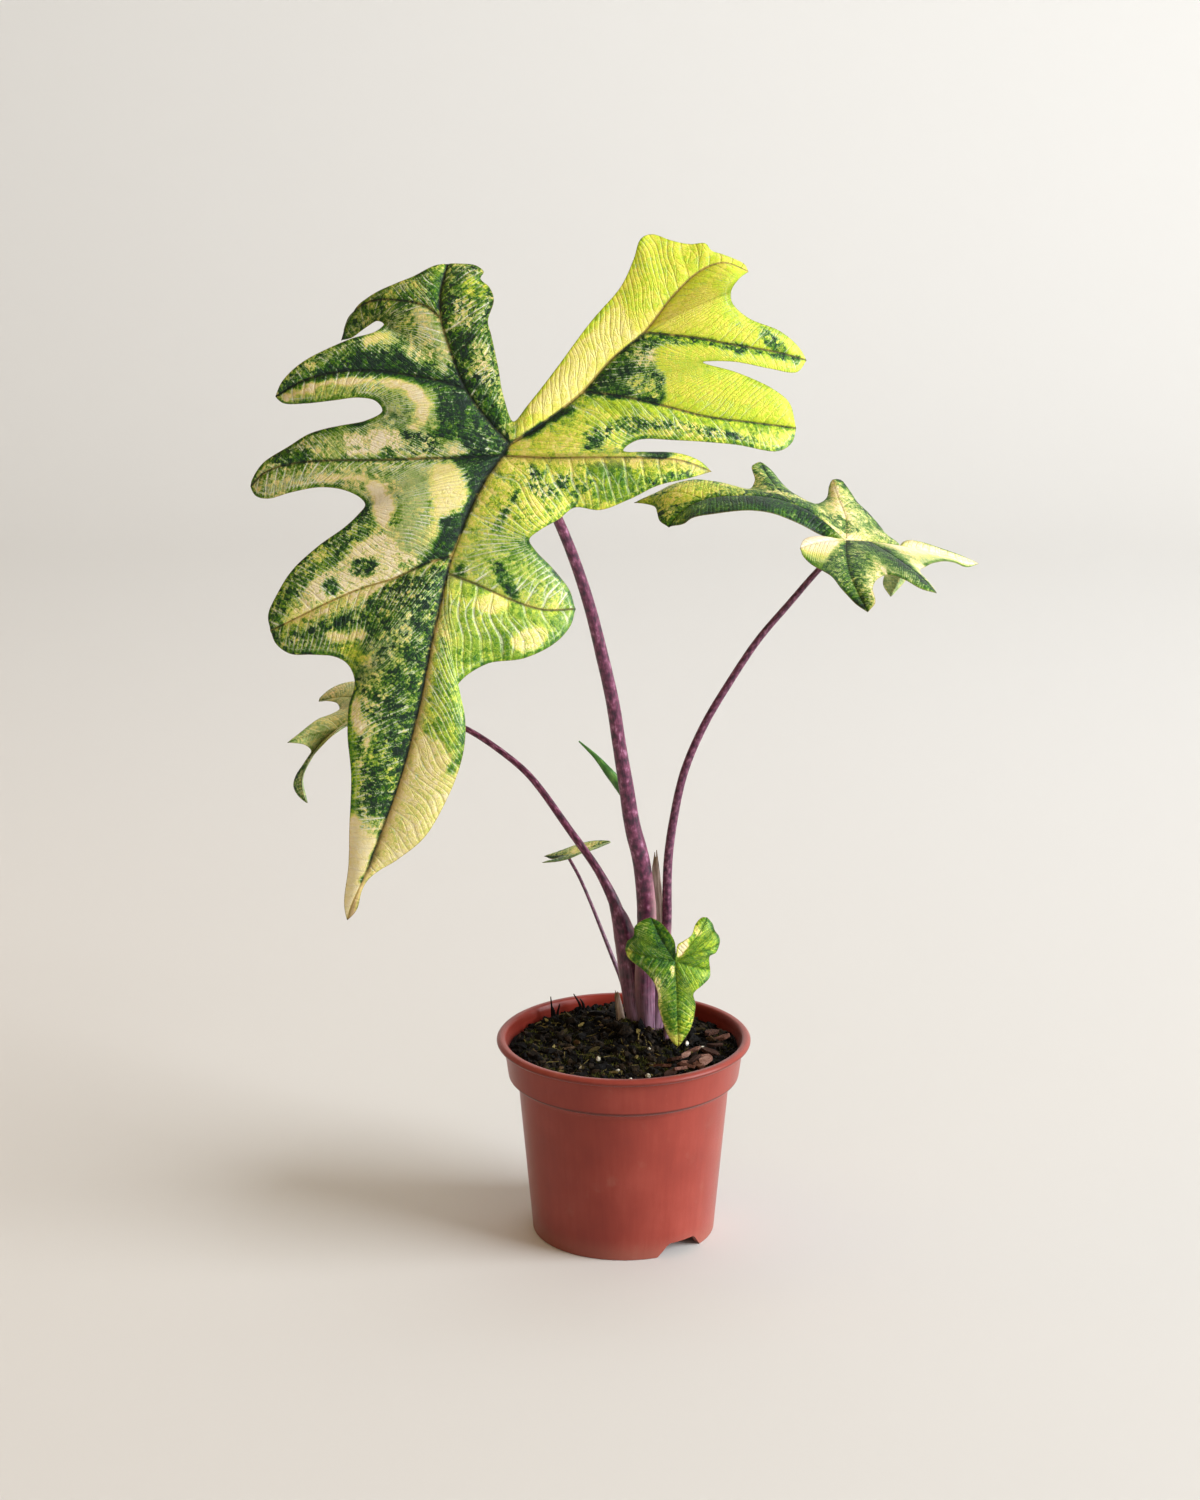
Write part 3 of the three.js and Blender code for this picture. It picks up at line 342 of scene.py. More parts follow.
def running_length(points):
    """How far along a line each of its points lies."""
    steps = np.linalg.norm(np.diff(points, axis=0), axis=1)
    return np.concatenate([[0.0], np.cumsum(steps)])


def grain(places, size, seed):
    """Value noise from -1 to 1 at places in millimetres, with blobs of about that size."""
    scaled = np.asarray(places, float) / size + seed * 17.31
    cell = np.floor(scaled).astype(np.int64)
    part = scaled - cell
    part = part * part * (3 - 2 * part)
    total = np.zeros(len(scaled))
    for corner in range(8):
        offset = np.array([corner & 1, corner >> 1 & 1, corner >> 2 & 1])
        key = (cell + offset) @ np.array([73856093, 19349663, 83492791])
        mixed = (key ^ key >> 13) * 1274126177 & 0x7fffffff
        mixed = (mixed ^ mixed >> 16) * 668265263 & 0x7fffffff
        value = mixed / 0x7fffffff * 2 - 1
        total += value * np.prod(np.where(offset, part, 1 - part), axis=1)
    return total


def layers_of_grain(places, layers):
    """Grain of several sizes on top of each other, each given as its height, size and seed."""
    return sum(height * grain(places, size, seed) for height, size, seed in layers)


print("grain at the origin:", round(float(grain([[0, 0, 0]], 5, 1)[0]), 3))

# %% [markdown]
# ## The pot
# The real pot is moulded plastic: a tapered cup, a wider band under a rounded lip, and a foot ring with
# two notches that let water run out from under it.
# It could be a stack of cylinders, but an outline turned about the vertical axis gives every round edge
# in one go. The drain holes and notches are cut afterwards, as solids taken away from it.

# %% Pot sizes
POT_HEIGHT = 96.7
BASE_RADIUS = 43.3
WALL = 1.3
FLOOR_Z = 5.0
PAD_RADIUS = 13.0
POT_STEPS = 176


def rounded(corners, steps=4):
    """An outline of (radius, z, rounding) corners, each rounded by an arc-like curve."""
    line = []
    for before, corner, after in zip(corners, corners[1:], corners[2:]):
        place = np.array(corner[:2])
        back = np.array(before[:2]) - place
        on = np.array(after[:2]) - place
        cut = min(corner[2], 0.45 * np.linalg.norm(back), 0.45 * np.linalg.norm(on))
        start = place + back / np.linalg.norm(back) * cut
        end = place + on / np.linalg.norm(on) * cut
        for step in range(steps + 1):
            t = step / steps
            line.append((1 - t) ** 2 * start + 2 * t * (1 - t) * place + t ** 2 * end)
    return np.array([corners[0][:2], *line, corners[-1][:2]])


POT_OUTLINE = rounded([
    (0, 0, 0), (PAD_RADIUS, 0, 0.6), (PAD_RADIUS + 2, FLOOR_Z, 0.8), (39.3, FLOOR_Z, 0.8), (40.3, 0, 0.5),
    (BASE_RADIUS, 0, 0.7), (50, 74, 0.8), (50.7, 75.8, 1), (53.1, 76.7, 0.9), (54.6, 77.8, 0.9),
    (54.9, 80, 1), (56.7, 93.3, 0.7), (59.4, 93.6, 0.9), (60.4, 95.1, 1.2), (59, 96.85, 1.3),
    (56.2, POT_HEIGHT, 1), (55.4, 94.4, 0.8), (53.4, 79, 1), (49.3, 76.2, 0.9), (48.7, 74.6, 0.8),
    (42.5, 6.3, 0.9), (15.6, 6.3, 0.8), (13.6, WALL, 0.7), (0, WALL, 0)])
print("pot outline points:", len(POT_OUTLINE))


# %% Turning and cutting
NOTCH_SHAPE = [(-15.0, -2), (15.0, -2), (8.4, 5.6), (7.0, 6.5), (-7.0, 6.5), (-8.4, 5.6)]
NOTCH_REACH = (45.8, 37.8)
NOTCHES_AT = (39, 219)
DRAIN_HEIGHTS = (2.0, 9.0)
DRAIN_RADIUS = 3.2
DRAIN_CIRCLE = 27
DRAIN_SIDES = 28
NOTCH = [(x, y, z) for y in NOTCH_REACH for x, z in NOTCH_SHAPE]


def level_ring(radius, z, steps):
    """Points on a level circle about the vertical axis."""
    turn = np.arange(steps) / steps * 2 * math.pi
    return np.stack([radius * np.cos(turn), radius * np.sin(turn), np.full(steps, z)], 1)


def closed_rings(name, rings, low_z, high_z, finish):
    """A solid of rings about the vertical axis, with a point on the axis that closes each end."""
    steps, last = len(rings[0]), len(rings) - 1
    points = np.vstack([*rings, [[0, 0, low_z], [0, 0, high_z]]])
    low, high = len(points) - 2, len(points) - 1
    faces = []
    for step in range(steps):
        after = (step + 1) % steps
        faces.append((low, after, step))
        faces.append((high, last * steps + step, last * steps + after))
        for ring in range(last):
            a, b = ring * steps + step, ring * steps + after
            faces.append((a, b, b + steps, a + steps))
    return add_mesh(name, points, faces, finish)


def between_rings(start, count):
    """Faces that join a ring of points to the ring that follows it."""
    pairs = [(start + i, start + (i + 1) % count) for i in range(count)]
    return [(a, b, b + count, a + count) for a, b in pairs]


def prism_faces(start, count):
    """The two ends and the sides of a solid between two rings of points."""
    first, second = range(start, start + count), range(start + count, start + 2 * count)
    return [tuple(first)[::-1], tuple(second), *between_rings(start, count)]


def cut_away(piece, prism, turn):
    """Takes a prism, turned about the vertical axis, away from the piece."""
    tool = add_mesh("tool", prism, prism_faces(0, len(prism) // 2), piece.data.materials[0])
    tool.data.transform(Matrix.Rotation(turn, 4, "Z"))
    cut = piece.modifiers.new("cut", "BOOLEAN")
    cut.operation = "DIFFERENCE"
    cut.solver = "EXACT"
    cut.object = tool
    bpy.context.view_layer.update()
    shape = bpy.data.meshes.new_from_object(piece.evaluated_get(bpy.context.evaluated_depsgraph_get()))
    piece.modifiers.clear()
    piece.data = shape
    bpy.data.objects.remove(tool)


DRAIN = np.vstack([level_ring(DRAIN_RADIUS, z, DRAIN_SIDES) for z in DRAIN_HEIGHTS]) + [DRAIN_CIRCLE, 0, 0]
print("cutting tools ready: notch and drain hole, corners:", len(NOTCH), len(DRAIN))

# %% [markdown]
# ## Moulded plastic
# The pot's plastic is a muted brick red with a satin gloss. It is a little paler and duller where it is
# rubbed, dusty near the table, and has faint upright marks from the mould.
# A flat colour would look like paint, so cloudy noise shifts the red and fine grain breaks up the gloss.
# Two dark lines of painted shade lie in the creases of the rim, and what faces inwards is darkened with
# painted shade.


# %% Pot plastic
# Painted shade in the creases of the rim: the height of each in millimetres, and how dark it is
CREASE_SHADOWS = [(77.2, 0.8), (94.0, 0.45)]


def plastic_finish():
    """Satin brick red with clouds, streaks, dust and scuffs, and painted shade in the creases and on the
    inner wall.
    """
    made = Finish("pot_plastic", Specular_IOR_Level=0.22, Sheen_Weight=0.12, Sheen_Roughness=0.4)
    place = made.object_place()
    clouds = made.noise(place, 38.0, 4.0)
    upright = made.stretched(place, 1.0, 1.0, 0.06)
    streaks = made.noise(upright, 420.0, 3.0)
    grit = made.noise(place, 2600.0)
    shade = made.times_plus(streaks, 0.35, made.times_plus(clouds, 0.9, 0.5))
    base = made.ramp(shade, [(0.2, "#81332a"), (0.5, "#8f3b30"), (0.8, "#9d473b")])
    height = made.parts(place)[2]
    low_dust = made.step(height, 0.0, 0.012, 0.35, 0.0)
    dust = made.math("ADD", low_dust, made.step(made.noise(place, 90.0, 5.0), 0.1, 0.3, 0.0, 0.22))
    base = made.mix(dust, base, "#a3705e")
    # Painted shade: a dark line along each crease
    for crease, strength in CREASE_SHADOWS:
        off_crease_shadow = made.math("ABSOLUTE", made.less(height, crease * MM))
        base = made.mix(made.times(made.line(off_crease_shadow, 0.0009, 0.0008), strength), base, "#4a1c12")
    scuffs = made.step(made.noise(upright, 900.0), 0.2, 0.3, 0.0, 0.3)
    base = made.mix(scuffs, base, "#a65a49")
    # Painted shade: the inner wall, which faces the axis, is made a darker red
    outward = made.vectors("MULTIPLY", place, (1.0, 1.0, 0.0))[0]
    normal = made.node("NewGeometry", {}).outputs["Normal"]
    facing = made.vectors("DOT_PRODUCT", normal, outward)["Value"]
    base = made.mix(made.step(facing, -0.03, 0.0, 0.75, 0.0), base, "#7c2416")
    rough = made.times_plus(dust, 0.5, made.times_plus(clouds, 0.18, 0.33))
    return made.surface(base, rough, made.times_plus(streaks, 0.5, grit), 0.05)


# %% The pot
rings = [level_ring(radius, z, POT_STEPS) for radius, z in POT_OUTLINE[1:-1]]
pot = closed_rings("nursery_pot", rings, POT_OUTLINE[0][1], POT_OUTLINE[-1][1], plastic_finish())
for azimuth in NOTCHES_AT:
    cut_away(pot, NOTCH, math.radians(azimuth + 180))
for hole in range(6):
    cut_away(pot, DRAIN, hole * math.pi / 3)
pot.data.set_sharp_from_angle(angle=math.radians(40))
belongs(pot, "pot", "pot")
count_line(pot)

# %% [markdown]
# ## Potting mix
# The mix is dark and moist: fine peat crumbs, bark chips of a brown pink, a few white perlite grains,
# short fibres and bits of olive moss.
# A bumpy disc alone looks like cloth. Here a finely waved bed carries a few thousand separate crumbs,
# each a small broken lump, and the chips, grains, fibres and moss lie on top as pieces of their own.

# %% Soil ground
SOIL_Z = 90.8
SOIL_RADIUS = 54.2
MOUND_AT = np.array([11.0, 17.0])
MOUND_REACH = 17
MOUND_RISE = 3.6
EDGE_AT = 49
EDGE_WIDTH = 5
EDGE_DROP = 0.8
# Two more heaps, each by its place, reach and rise, and the ground's lumps by height, size and seed
HEAPS = [(2.5, 10.0, 8.0, 5.0), (-12.0, 34.0, 18.0, 2.6)]
GROUND_LUMPS = [(1.3, 13, 3), (0.8, 5.5, 4), (0.35, 2.2, 5)]


def soil_height(x, y):
    """Height of the mix: nearly level, with lumps, hollows and a mound round the stems."""
    flat = np.stack([x, y, np.zeros_like(x)], 1)
    off = np.hypot(x - MOUND_AT[0], y - MOUND_AT[1]) / MOUND_REACH
    height = SOIL_Z + MOUND_RISE * np.exp(-off ** 2)
    for heap_x, heap_y, reach, rise in HEAPS:
        height += rise * np.exp(-((x - heap_x) ** 2 + (y - heap_y) ** 2) / reach ** 2)
    height += layers_of_grain(flat, GROUND_LUMPS)
    edge = np.clip((np.hypot(x, y) - EDGE_AT) / EDGE_WIDTH, 0, 1)
    return height - EDGE_DROP * edge


def on_soil(x, y, lift=0.0):
    """A place on the ground, or a little above it."""
    return [x, y, float(soil_height(np.array([x]), np.array([y]))[0]) + lift]


def soil_piece(name, points, faces, finish, own, *nodes, smooth=False):
    """A piece of the mix. Its own number, one at each vertex, makes it lighter or darker."""
    made = add_mesh(name, points, faces, finish, smooth)
    give_numbers(made, "own", own)
    belongs(made, "soil", *nodes)
    count_line(made)


print("soil stands below the lip by mm:", round(POT_HEIGHT - SOIL_Z, 1))


# %% Soil finishes
def soil_finish(name, dark, middle, light, rough):
    """Crumbly matter: clumps and specks from dark to light, shifted by each piece's own number."""
    made = Finish(name, Specular_IOR_Level=0.15)
    place = made.object_place()
    clumps = made.noise(place, 160.0, 5.0)
    specks = made.noise(place, 1400.0, 3.0)
    shade = made.times_plus(specks, 0.9, made.times_plus(clumps, 0.8, 0.4))
    shade = made.math("ADD", shade, made.times_plus(made.number("own"), 0.8, -0.4))
    base = made.ramp(shade, [(0.2, dark), (0.55, middle), (0.95, light)])
    gloss = made.times_plus(clumps, -0.6, rough)
    return made.surface(base, gloss, made.times_plus(specks, 0.8, clumps), 0.5)


peat = soil_finish("peat", "#030202", "#0e0a07", "#3a2e1f", 0.8)
bark = soil_finish("bark", "#38241c", "#7d5547", "#b28c7c", 0.8)
old_bark = soil_finish("old_bark", "#140e09", "#36271a", "#6a543a", 0.85)
fibre = soil_finish("fibre", "#3a3216", "#776a3a", "#b5a768", 0.8)
perlite = soil_finish("perlite", "#a8a08c", "#cfc9b8", "#f0ede4", 0.9)
moss_green = soil_finish("moss", "#1d1f0a", "#454618", "#80803a", 0.85)
print("soil finishes: 6")

# %% Soil bed
BED_STEPS = 220
BED_SIDE = [(13.2, 1.6), (15.2, 6.6), (42.3, 6.6), (48.4, 74.7), (48.9, 76.5), (53.1, 79.4)]
rings = [level_ring(radius, z, BED_STEPS) for radius, z in BED_SIDE]
for radius in np.linspace(SOIL_RADIUS, 0.8, 84):
    ring = level_ring(radius, SOIL_Z, BED_STEPS)
    ring[:, 2] = soil_height(ring[:, 0], ring[:, 1])
    rings.append(ring)
bed = closed_rings("potting_mix", rings, BED_SIDE[0][1], rings[-1][:, 2].mean(), peat)
give_numbers(bed, "own", np.full(len(bed.data.vertices), 0.35))
belongs(bed, "soil", "soil")
count_line(bed)


# %% Scattered lumps
STEM_FOOT = np.array([[11.5, 17.0, 5.3], [6.0, 17.5, 4.6], [15.5, 17.0, 3.6], [13, 18, 3.4]])
SCATTER_RADIUS = 53.5
LITTER_EDGE = 54.3


def lump_shape():
    """A ball of 32 triangles: an octahedron with each face split into four."""
    tips = [(1, 0, 0), (0, 1, 0), (-1, 0, 0), (0, -1, 0), (0, 0, 1), (0, 0, -1)]
    points = [np.array(tip, float) for tip in tips]
    middles = {}
    faces = []

    def middle(a, b):
        key = (min(a, b), max(a, b))
        if key not in middles:
            between = points[a] + points[b]
            middles[key] = len(points)
            points.append(between / np.linalg.norm(between))
        return middles[key]

    for pole, order in ((4, (0, 1, 2, 3)), (5, (3, 2, 1, 0))):
        for a, b in zip(order, order[1:] + order[:1]):
            ab, bp, pa = middle(a, b), middle(b, pole), middle(pole, a)
            faces += [(a, ab, pa), (ab, b, bp), (pa, bp, pole), (ab, bp, pa)]
    return np.array(points), faces


LUMP_POINTS, LUMP_FACES = lump_shape()


def spot_in_disc(draw, radius):
    """A random place in a disc, with no crowding in its middle."""
    away = radius * math.sqrt(draw.random())
    turn = 2 * math.pi * draw.random()
    return np.array([away * math.cos(turn), away * math.sin(turn)])


def random_turn(draw, sway):
    """Any heading, after small tips to the sides."""
    turn = Matrix.Rotation(draw.uniform(0, 2 * math.pi), 3, "Z")
    tip = Matrix.Rotation(draw.normal(0, 0.3), 3, "X") @ Matrix.Rotation(draw.normal(0, sway), 3, "Y")
    return np.array(turn @ tip).T


def scatter(name, draw, count, low, high, flatness, sink, finish, angular, widths=(0.45, 0.95),
            lift=0.0, near=None):
    """Count lumps of random size, turned at random and pressed a little into the soil."""
    points, faces, own = [], [], []
    while len(points) < count:
        x, y = spot_in_disc(draw, SCATTER_RADIUS)
        if near:
            x, y = near[len(points)]
        size = low + (high - low) * draw.random() ** 2.2
        shape = np.array([1, draw.uniform(*widths), draw.uniform(*flatness)]) * size / 2
        rough = 1 + angular * draw.uniform(-1, 1, (len(LUMP_POINTS), 1))
        turn = random_turn(draw, 0.3)
        inside = math.hypot(x, y) + size / 2 < LITTER_EDGE
        off_stems = np.hypot(STEM_FOOT[:, 0] - x, STEM_FOOT[:, 1] - y)
        if not near and not (inside and np.all(off_stems > STEM_FOOT[:, 2] + size * 0.4)):
            continue
        first = len(points) * len(LUMP_POINTS)
        points.append(LUMP_POINTS * rough * shape @ turn + on_soil(x, y, shape[2] * sink) + [0, 0, lift])
        faces += [tuple(first + i for i in face) for face in LUMP_FACES]
        own += [draw.random()] * len(LUMP_POINTS)
    soil_piece(name, np.vstack(points), faces, finish, own)


FOOT_SPOTS = [(0, 9), (4, 8), (-3, 12), (8, 9), (-5, 17), (1, 6), (12, 9.5)]
soil_draw = np.random.default_rng(5)
scatter("soil_crumbs", soil_draw, 2600, 0.8, 4.4, (0.4, 0.95), 0.5, peat, 0.34)
scatter("soil_clods", soil_draw, 190, 3.4, 8.0, (0.4, 0.8), 0.35, peat, 0.32)
scatter("foot_clods", soil_draw, len(FOOT_SPOTS), 5.0, 8.0, (0.6, 0.9), 0.3, peat, 0.3, near=FOOT_SPOTS)

# %% [markdown]
# ## Chips, grains, fibres and moss
# Bark chips and bits of dead leaf are flat and ragged, so they are slivers: an uneven outline with a skin
# above and one below. Perlite grains are small, round and pale. Most chips lie at the front right, as on
# the real pot, and the rest are scattered.
# Fibres are thin bent tubes, and each bit of moss is a tuft of short tapered leaves.


# %% Slivers
def slivers(name, draw, spots, lengths, widths, thickness, lift, finish):
    """One flat, ragged, tilted piece at each spot."""
    points, faces, own = [], [], []
    corners = 9
    for x, y in spots:
        length = draw.uniform(*lengths)
        turn = (np.arange(corners) + draw.uniform(-0.35, 0.35, corners)) / corners * 2 * math.pi
        reach = draw.uniform(0.6, 1.05, corners) * length / 2
        outline = np.stack([reach * np.cos(turn), reach * np.sin(turn) * draw.uniform(*widths)], 1)
        bend = draw.uniform(0.0, 0.012) * outline[:, 0] ** 2
        skins = [np.column_stack([outline, bend + side * thickness / 2]) for side in (-1, 1)]
        faces += prism_faces(len(points), corners)
        points += list(np.vstack(skins) @ random_turn(draw, 0.2) + on_soil(x, y, lift))
        own += [draw.random()] * (2 * corners)
    soil_piece(name, points, faces, finish, own)


print("sliver helper ready")

# %% Chips and grains
CHIP_SPOTS = [(33, -24), (37, -19), (30, -31), (41, -12), (26, -36), (44, -3), (35, -30), (21, -41),
              (46, 5), (18, -30), (29, -15), (24, -22), (38, -26), (33, -8), (42, 12), (28, -27)]
LEAF_BIT_SPOTS = [(-33, -3), (7, 5), (-26, 36), (-37, 30), (6, -19), (15, -26), (-19, -31), (31, -10),
                  (-14, -8), (-28, 14), (-5, -38), (22, -30), (-41, 6), (2, -6), (-20, 22), (36, 16)]
GRAIN_SPOTS = [(11, -44), (-3, -34), (-20, -30), (37, -6), (12, -9), (30, -1), (-12, -22), (3, -48)]
slivers("bark_chips", soil_draw, CHIP_SPOTS, (7, 14), (0.28, 0.5), 1.5, 2.4, bark)
scatter("bark_flakes", soil_draw, 120, 2.2, 7.0, (0.2, 0.45), 0.8, old_bark, 0.34, (0.2, 0.6), 0.5)
slivers("leaf_bits", soil_draw, LEAF_BIT_SPOTS, (4, 9), (0.25, 0.45), 0.6, 1.8, fibre)
scatter("perlite_grains", soil_draw, len(GRAIN_SPOTS), 2.0, 3.6, (0.75, 1.0), 0.8, perlite, 0.12,
        lift=0.8, near=GRAIN_SPOTS)


# %% Fibres
def thin_tubes(name, paths, radius, finish, sides=6):
    """Tapered tubes along several paths, joined in one mesh."""
    points, faces = [], []
    for path in paths:
        line = smooth_path(path, 6)
        last = len(line) - 1
        first = len(points)
        for index, centre in enumerate(line):
            thick = radius * (1 - 0.75 * index / last)
            ahead = line[min(index + 1, last)] - line[max(index - 1, 0)]
            across = np.cross(ahead, [0.3, 0.5, 0.8])
            across /= np.linalg.norm(across)
            up = np.cross(ahead, across)
            up /= np.linalg.norm(up)
            for side in range(sides):
                turn = side / sides * 2 * math.pi
                points.append(centre + thick * (math.cos(turn) * across + math.sin(turn) * up))
        for ring in range(last):
            faces += between_rings(first + ring * sides, sides)
        faces.append(tuple(first + side for side in range(sides))[::-1])
        faces.append(tuple(len(points) - sides + side for side in range(sides)))
    soil_piece(name, points, faces, finish, np.full(len(points), 0.5), smooth=True)


# Across, back and above the soil
SPIKES = [[(-34, 36, -1), (-34.4, 36, 5), (-35, 36, 12)], [(-33, 36.5, -1), (-33.4, 36, 4), (-34.4, 36, 7)],
          [(-32, 37, -1), (-31.6, 37, 3), (-30.6, 37, 7)], [(-20, 44, -1), (-21, 44, 4), (-24, 44, 10)],
          [(-19, 44.5, -1), (-19.4, 44, 4), (-21, 44, 7)]]
thin_tubes("dark_spikes", [[on_soil(*spot) for spot in spike] for spike in SPIKES], 1.0, peat)
FIBRE_COUNT = 130
FIBRE_RADIUS = 50
FIBRE_EDGE = 52
fibres = []
for _ in range(FIBRE_COUNT):
    at = spot_in_disc(soil_draw, FIBRE_RADIUS)
    heading = soil_draw.uniform(0, 2 * math.pi)
    length = soil_draw.uniform(3, 10)
    bend = soil_draw.uniform(-0.8, 0.8)
    steps = [at + length * t * np.array([math.cos(heading + bend * t), math.sin(heading + bend * t)])
             for t in (0, 0.35, 0.7, 1)]
    if all(np.hypot(*spot) < FIBRE_EDGE for spot in steps):
        fibres.append([on_soil(*spot, 0.5 + soil_draw.uniform(0, 0.9)) for spot in steps])
thin_tubes("fibres", fibres, 0.42, fibre, sides=5)


# %% Moss
TUFT_COUNT = 150
MOSS_RADIUS = 50
MOSS_EDGE = 53
BARE_MOUND = 9


def moss_tufts(draw, count):
    """Tufts of short, tapered, three-sided leaves that lean out from the tuft's middle."""
    points, faces, own = [], [], []
    for _ in range(count):
        middle = spot_in_disc(draw, MOSS_RADIUS)
        if np.hypot(*(middle - MOUND_AT)) < BARE_MOUND:
            continue
        width = draw.uniform(1.2, 4.2)
        for _ in range(int(16 + width * 12)):
            lean = draw.normal(0, 0.55, 2)
            foot = middle + draw.normal(0, width / 2, 2)
            if np.hypot(*foot) > MOSS_EDGE:
                continue
            base = np.array(on_soil(*foot, 0.1))
            tall = draw.uniform(0.8, 2.2)
            tip = base + [lean[0] * tall, lean[1] * tall, tall]
            half = draw.uniform(0.14, 0.3)
            spin = draw.uniform(0, 2 * math.pi)
            a, b, c, top = range(len(points), len(points) + 4)
            for turn in (spin, spin + 2 * math.pi / 3, spin + 4 * math.pi / 3):
                points.append(base + half * np.array([math.cos(turn), math.sin(turn), -0.6]))
            points.append(tip)
            faces += [(a, b, top), (b, c, top), (c, a, top), (a, c, b)]
            own += [draw.random()] * 4
    soil_piece("moss", points, faces, moss_green, own)


moss_tufts(soil_draw, TUFT_COUNT)

# %% [markdown]
# ## The stalks
# Each petiole is a fleshy tube, thick at the soil and slim at the leaf. It is purple, with darker and
# paler blotches that run across it like bands. Low down, its sides widen into a thin sheath that clasps
# its neighbours, and there the stalks are grown together.
# A tube along a smooth path could be a bevelled curve, but a sheath needs a section that changes along
# the way, so the rings are placed one by one. The clasped base and the free stalks are cut from the same
# tubes, at the height where the solids part, and so they meet without a step.

# %% Stalk paths, repeated from the solids
# Each knot is x, y, z, half width and half depth in millimetres.
CLASP_TOP_Z = 134.0
MAIN_STALK = [[12, 18, 72, 4.4, 4.4], [11.5, 17, 90, 4.9, 4.7], [11, 15.5, 105, 5, 4.7],
    [10.5, 13, 120, 4.7, 4.5], [10.5, 10.5, 137, 4.4, 4.2], [10.5, 8, 151, 4.2, 4], [10, 6, 165, 4.2, 3.8],
    [8, 3, 183, 4.1, 3.7], [4, 1, 200, 3.8, 3.5], [1, -2, 220, 3.5, 3.3], [-2, -5, 239.5, 3.2, 3.1],
    [-5.5, -9, 263.5, 3.1, 3], [-10.5, -14, 287.5, 2.9, 2.9], [-16, -20, 311.5, 2.7, 2.7],
    [-23, -28, 335.5, 2.5, 2.5], [-29.5, -36, 354, 2.4, 2.4], [-37, -46, 373, 2.3, 2.3],
    [-44, -56, 387.5, 2.3, 2.3], [-48.5, -65.5, 394.2, 2.3, 2.3], [-50.4, -72.7, 396.8, 2.4, 2.4]]
LEFT_STALK = [[8, 18, 72, 3.6, 3.6], [6.5, 17.5, 92, 4.2, 4], [5, 16.5, 106, 4.4, 4],
    [3, 16.5, 122, 4.2, 3.6], [0.5, 17.5, 139, 3.9, 3], [-3.5, 19.5, 154, 2.9, 2.4],
    [-11.5, 25, 169.5, 2, 2], [-25.5, 36, 187, 1.8, 1.8], [-44.5, 50, 209.5, 1.6, 1.6],
    [-57, 58, 218.5, 1.5, 1.5], [-74.5, 68, 227.5, 1.4, 1.4], [-90, 74.5, 232, 1.3, 1.3],
    [-103, 78, 232.3, 1.3, 1.3], [-110.2, 79.5, 234.4, 1.3, 1.3]]
RIGHT_STALK = [[14.5, 18, 72, 3, 3], [15.5, 17, 92, 3.4, 3.4], [16.5, 15.5, 108, 3.2, 3.2],
    [18, 13.5, 124.5, 2.8, 2.8], [19.4, 12, 137, 2.5, 2.5], [20.4, 11, 150.5, 2.3, 2.3],
    [20.4, 10, 167.5, 2.2, 2.2], [21, 9, 183.5, 2.1, 2.1], [23, 9, 199.5, 2, 2], [28, 9, 224, 1.9, 1.9],
    [37, 9, 246.5, 1.8, 1.8], [49, 10, 267.5, 1.7, 1.7], [62, 11, 287.5, 1.6, 1.6],
    [76.5, 12, 305, 1.5, 1.5], [89, 12, 320, 1.4, 1.4], [97.5, 12, 328.5, 1.4, 1.4],
    [101, 12, 331.9, 1.4, 1.4]]
CORE_STALK = [[13, 18, 72, 3, 3], [13, 17.8, 95, 3.6, 3], [13.6, 17.4, 115, 4, 2.8],
    [14, 17.6, 140, 4.4, 2.2]]
BACK_STALK = [[3, 31, 80, 1.4, 1.4], [1.5, 30.5, 100, 1.4, 1.4], [-0.5, 31.5, 111.5, 1.1, 1.1],
    [-6, 35, 125.5, 1, 1], [-10.5, 39, 136, 0.9, 0.9], [-15.5, 44, 147.5, 0.8, 0.8],
    [-21, 49, 159, 0.8, 0.8], [-26, 53.9, 167, 0.8, 0.8]]
FRONT_STALK = [[20, 6, 80, 1.3, 1.3], [20.5, 4.5, 101, 1.3, 1.3], [21, 1.5, 115, 1.2, 1.2],
    [22.2, -4.5, 128, 1.1, 1.1], [23.3, -11.5, 136.5, 1.1, 1.1], [23.9, -18.3, 140.9, 1.1, 1.1]]
STALKS = (MAIN_STALK, LEFT_STALK, RIGHT_STALK, CORE_STALK, BACK_STALK, FRONT_STALK)
print("stalk knots:", sum(map(len, STALKS)))


# %% Tubes with a sheath
MAP_ROUND = 24.0
# Lumps of the skin: height as a share of the radius, size and seed
SKIN_LUMPS = [(0.025, 6, 8), (0.012, 2, 9)]


def sized_path(knots, per_span):
    """A smooth path, how many knots lie behind each of its points, and the half sizes there."""
    knots = np.array(knots, float)
    line = smooth_path(knots[:, :3], per_span)
    place = np.arange(len(line)) / per_span
    half = np.stack([np.interp(place, np.arange(len(knots)), knots[:, i]) for i in (3, 4)], 1)
    return line, place, half


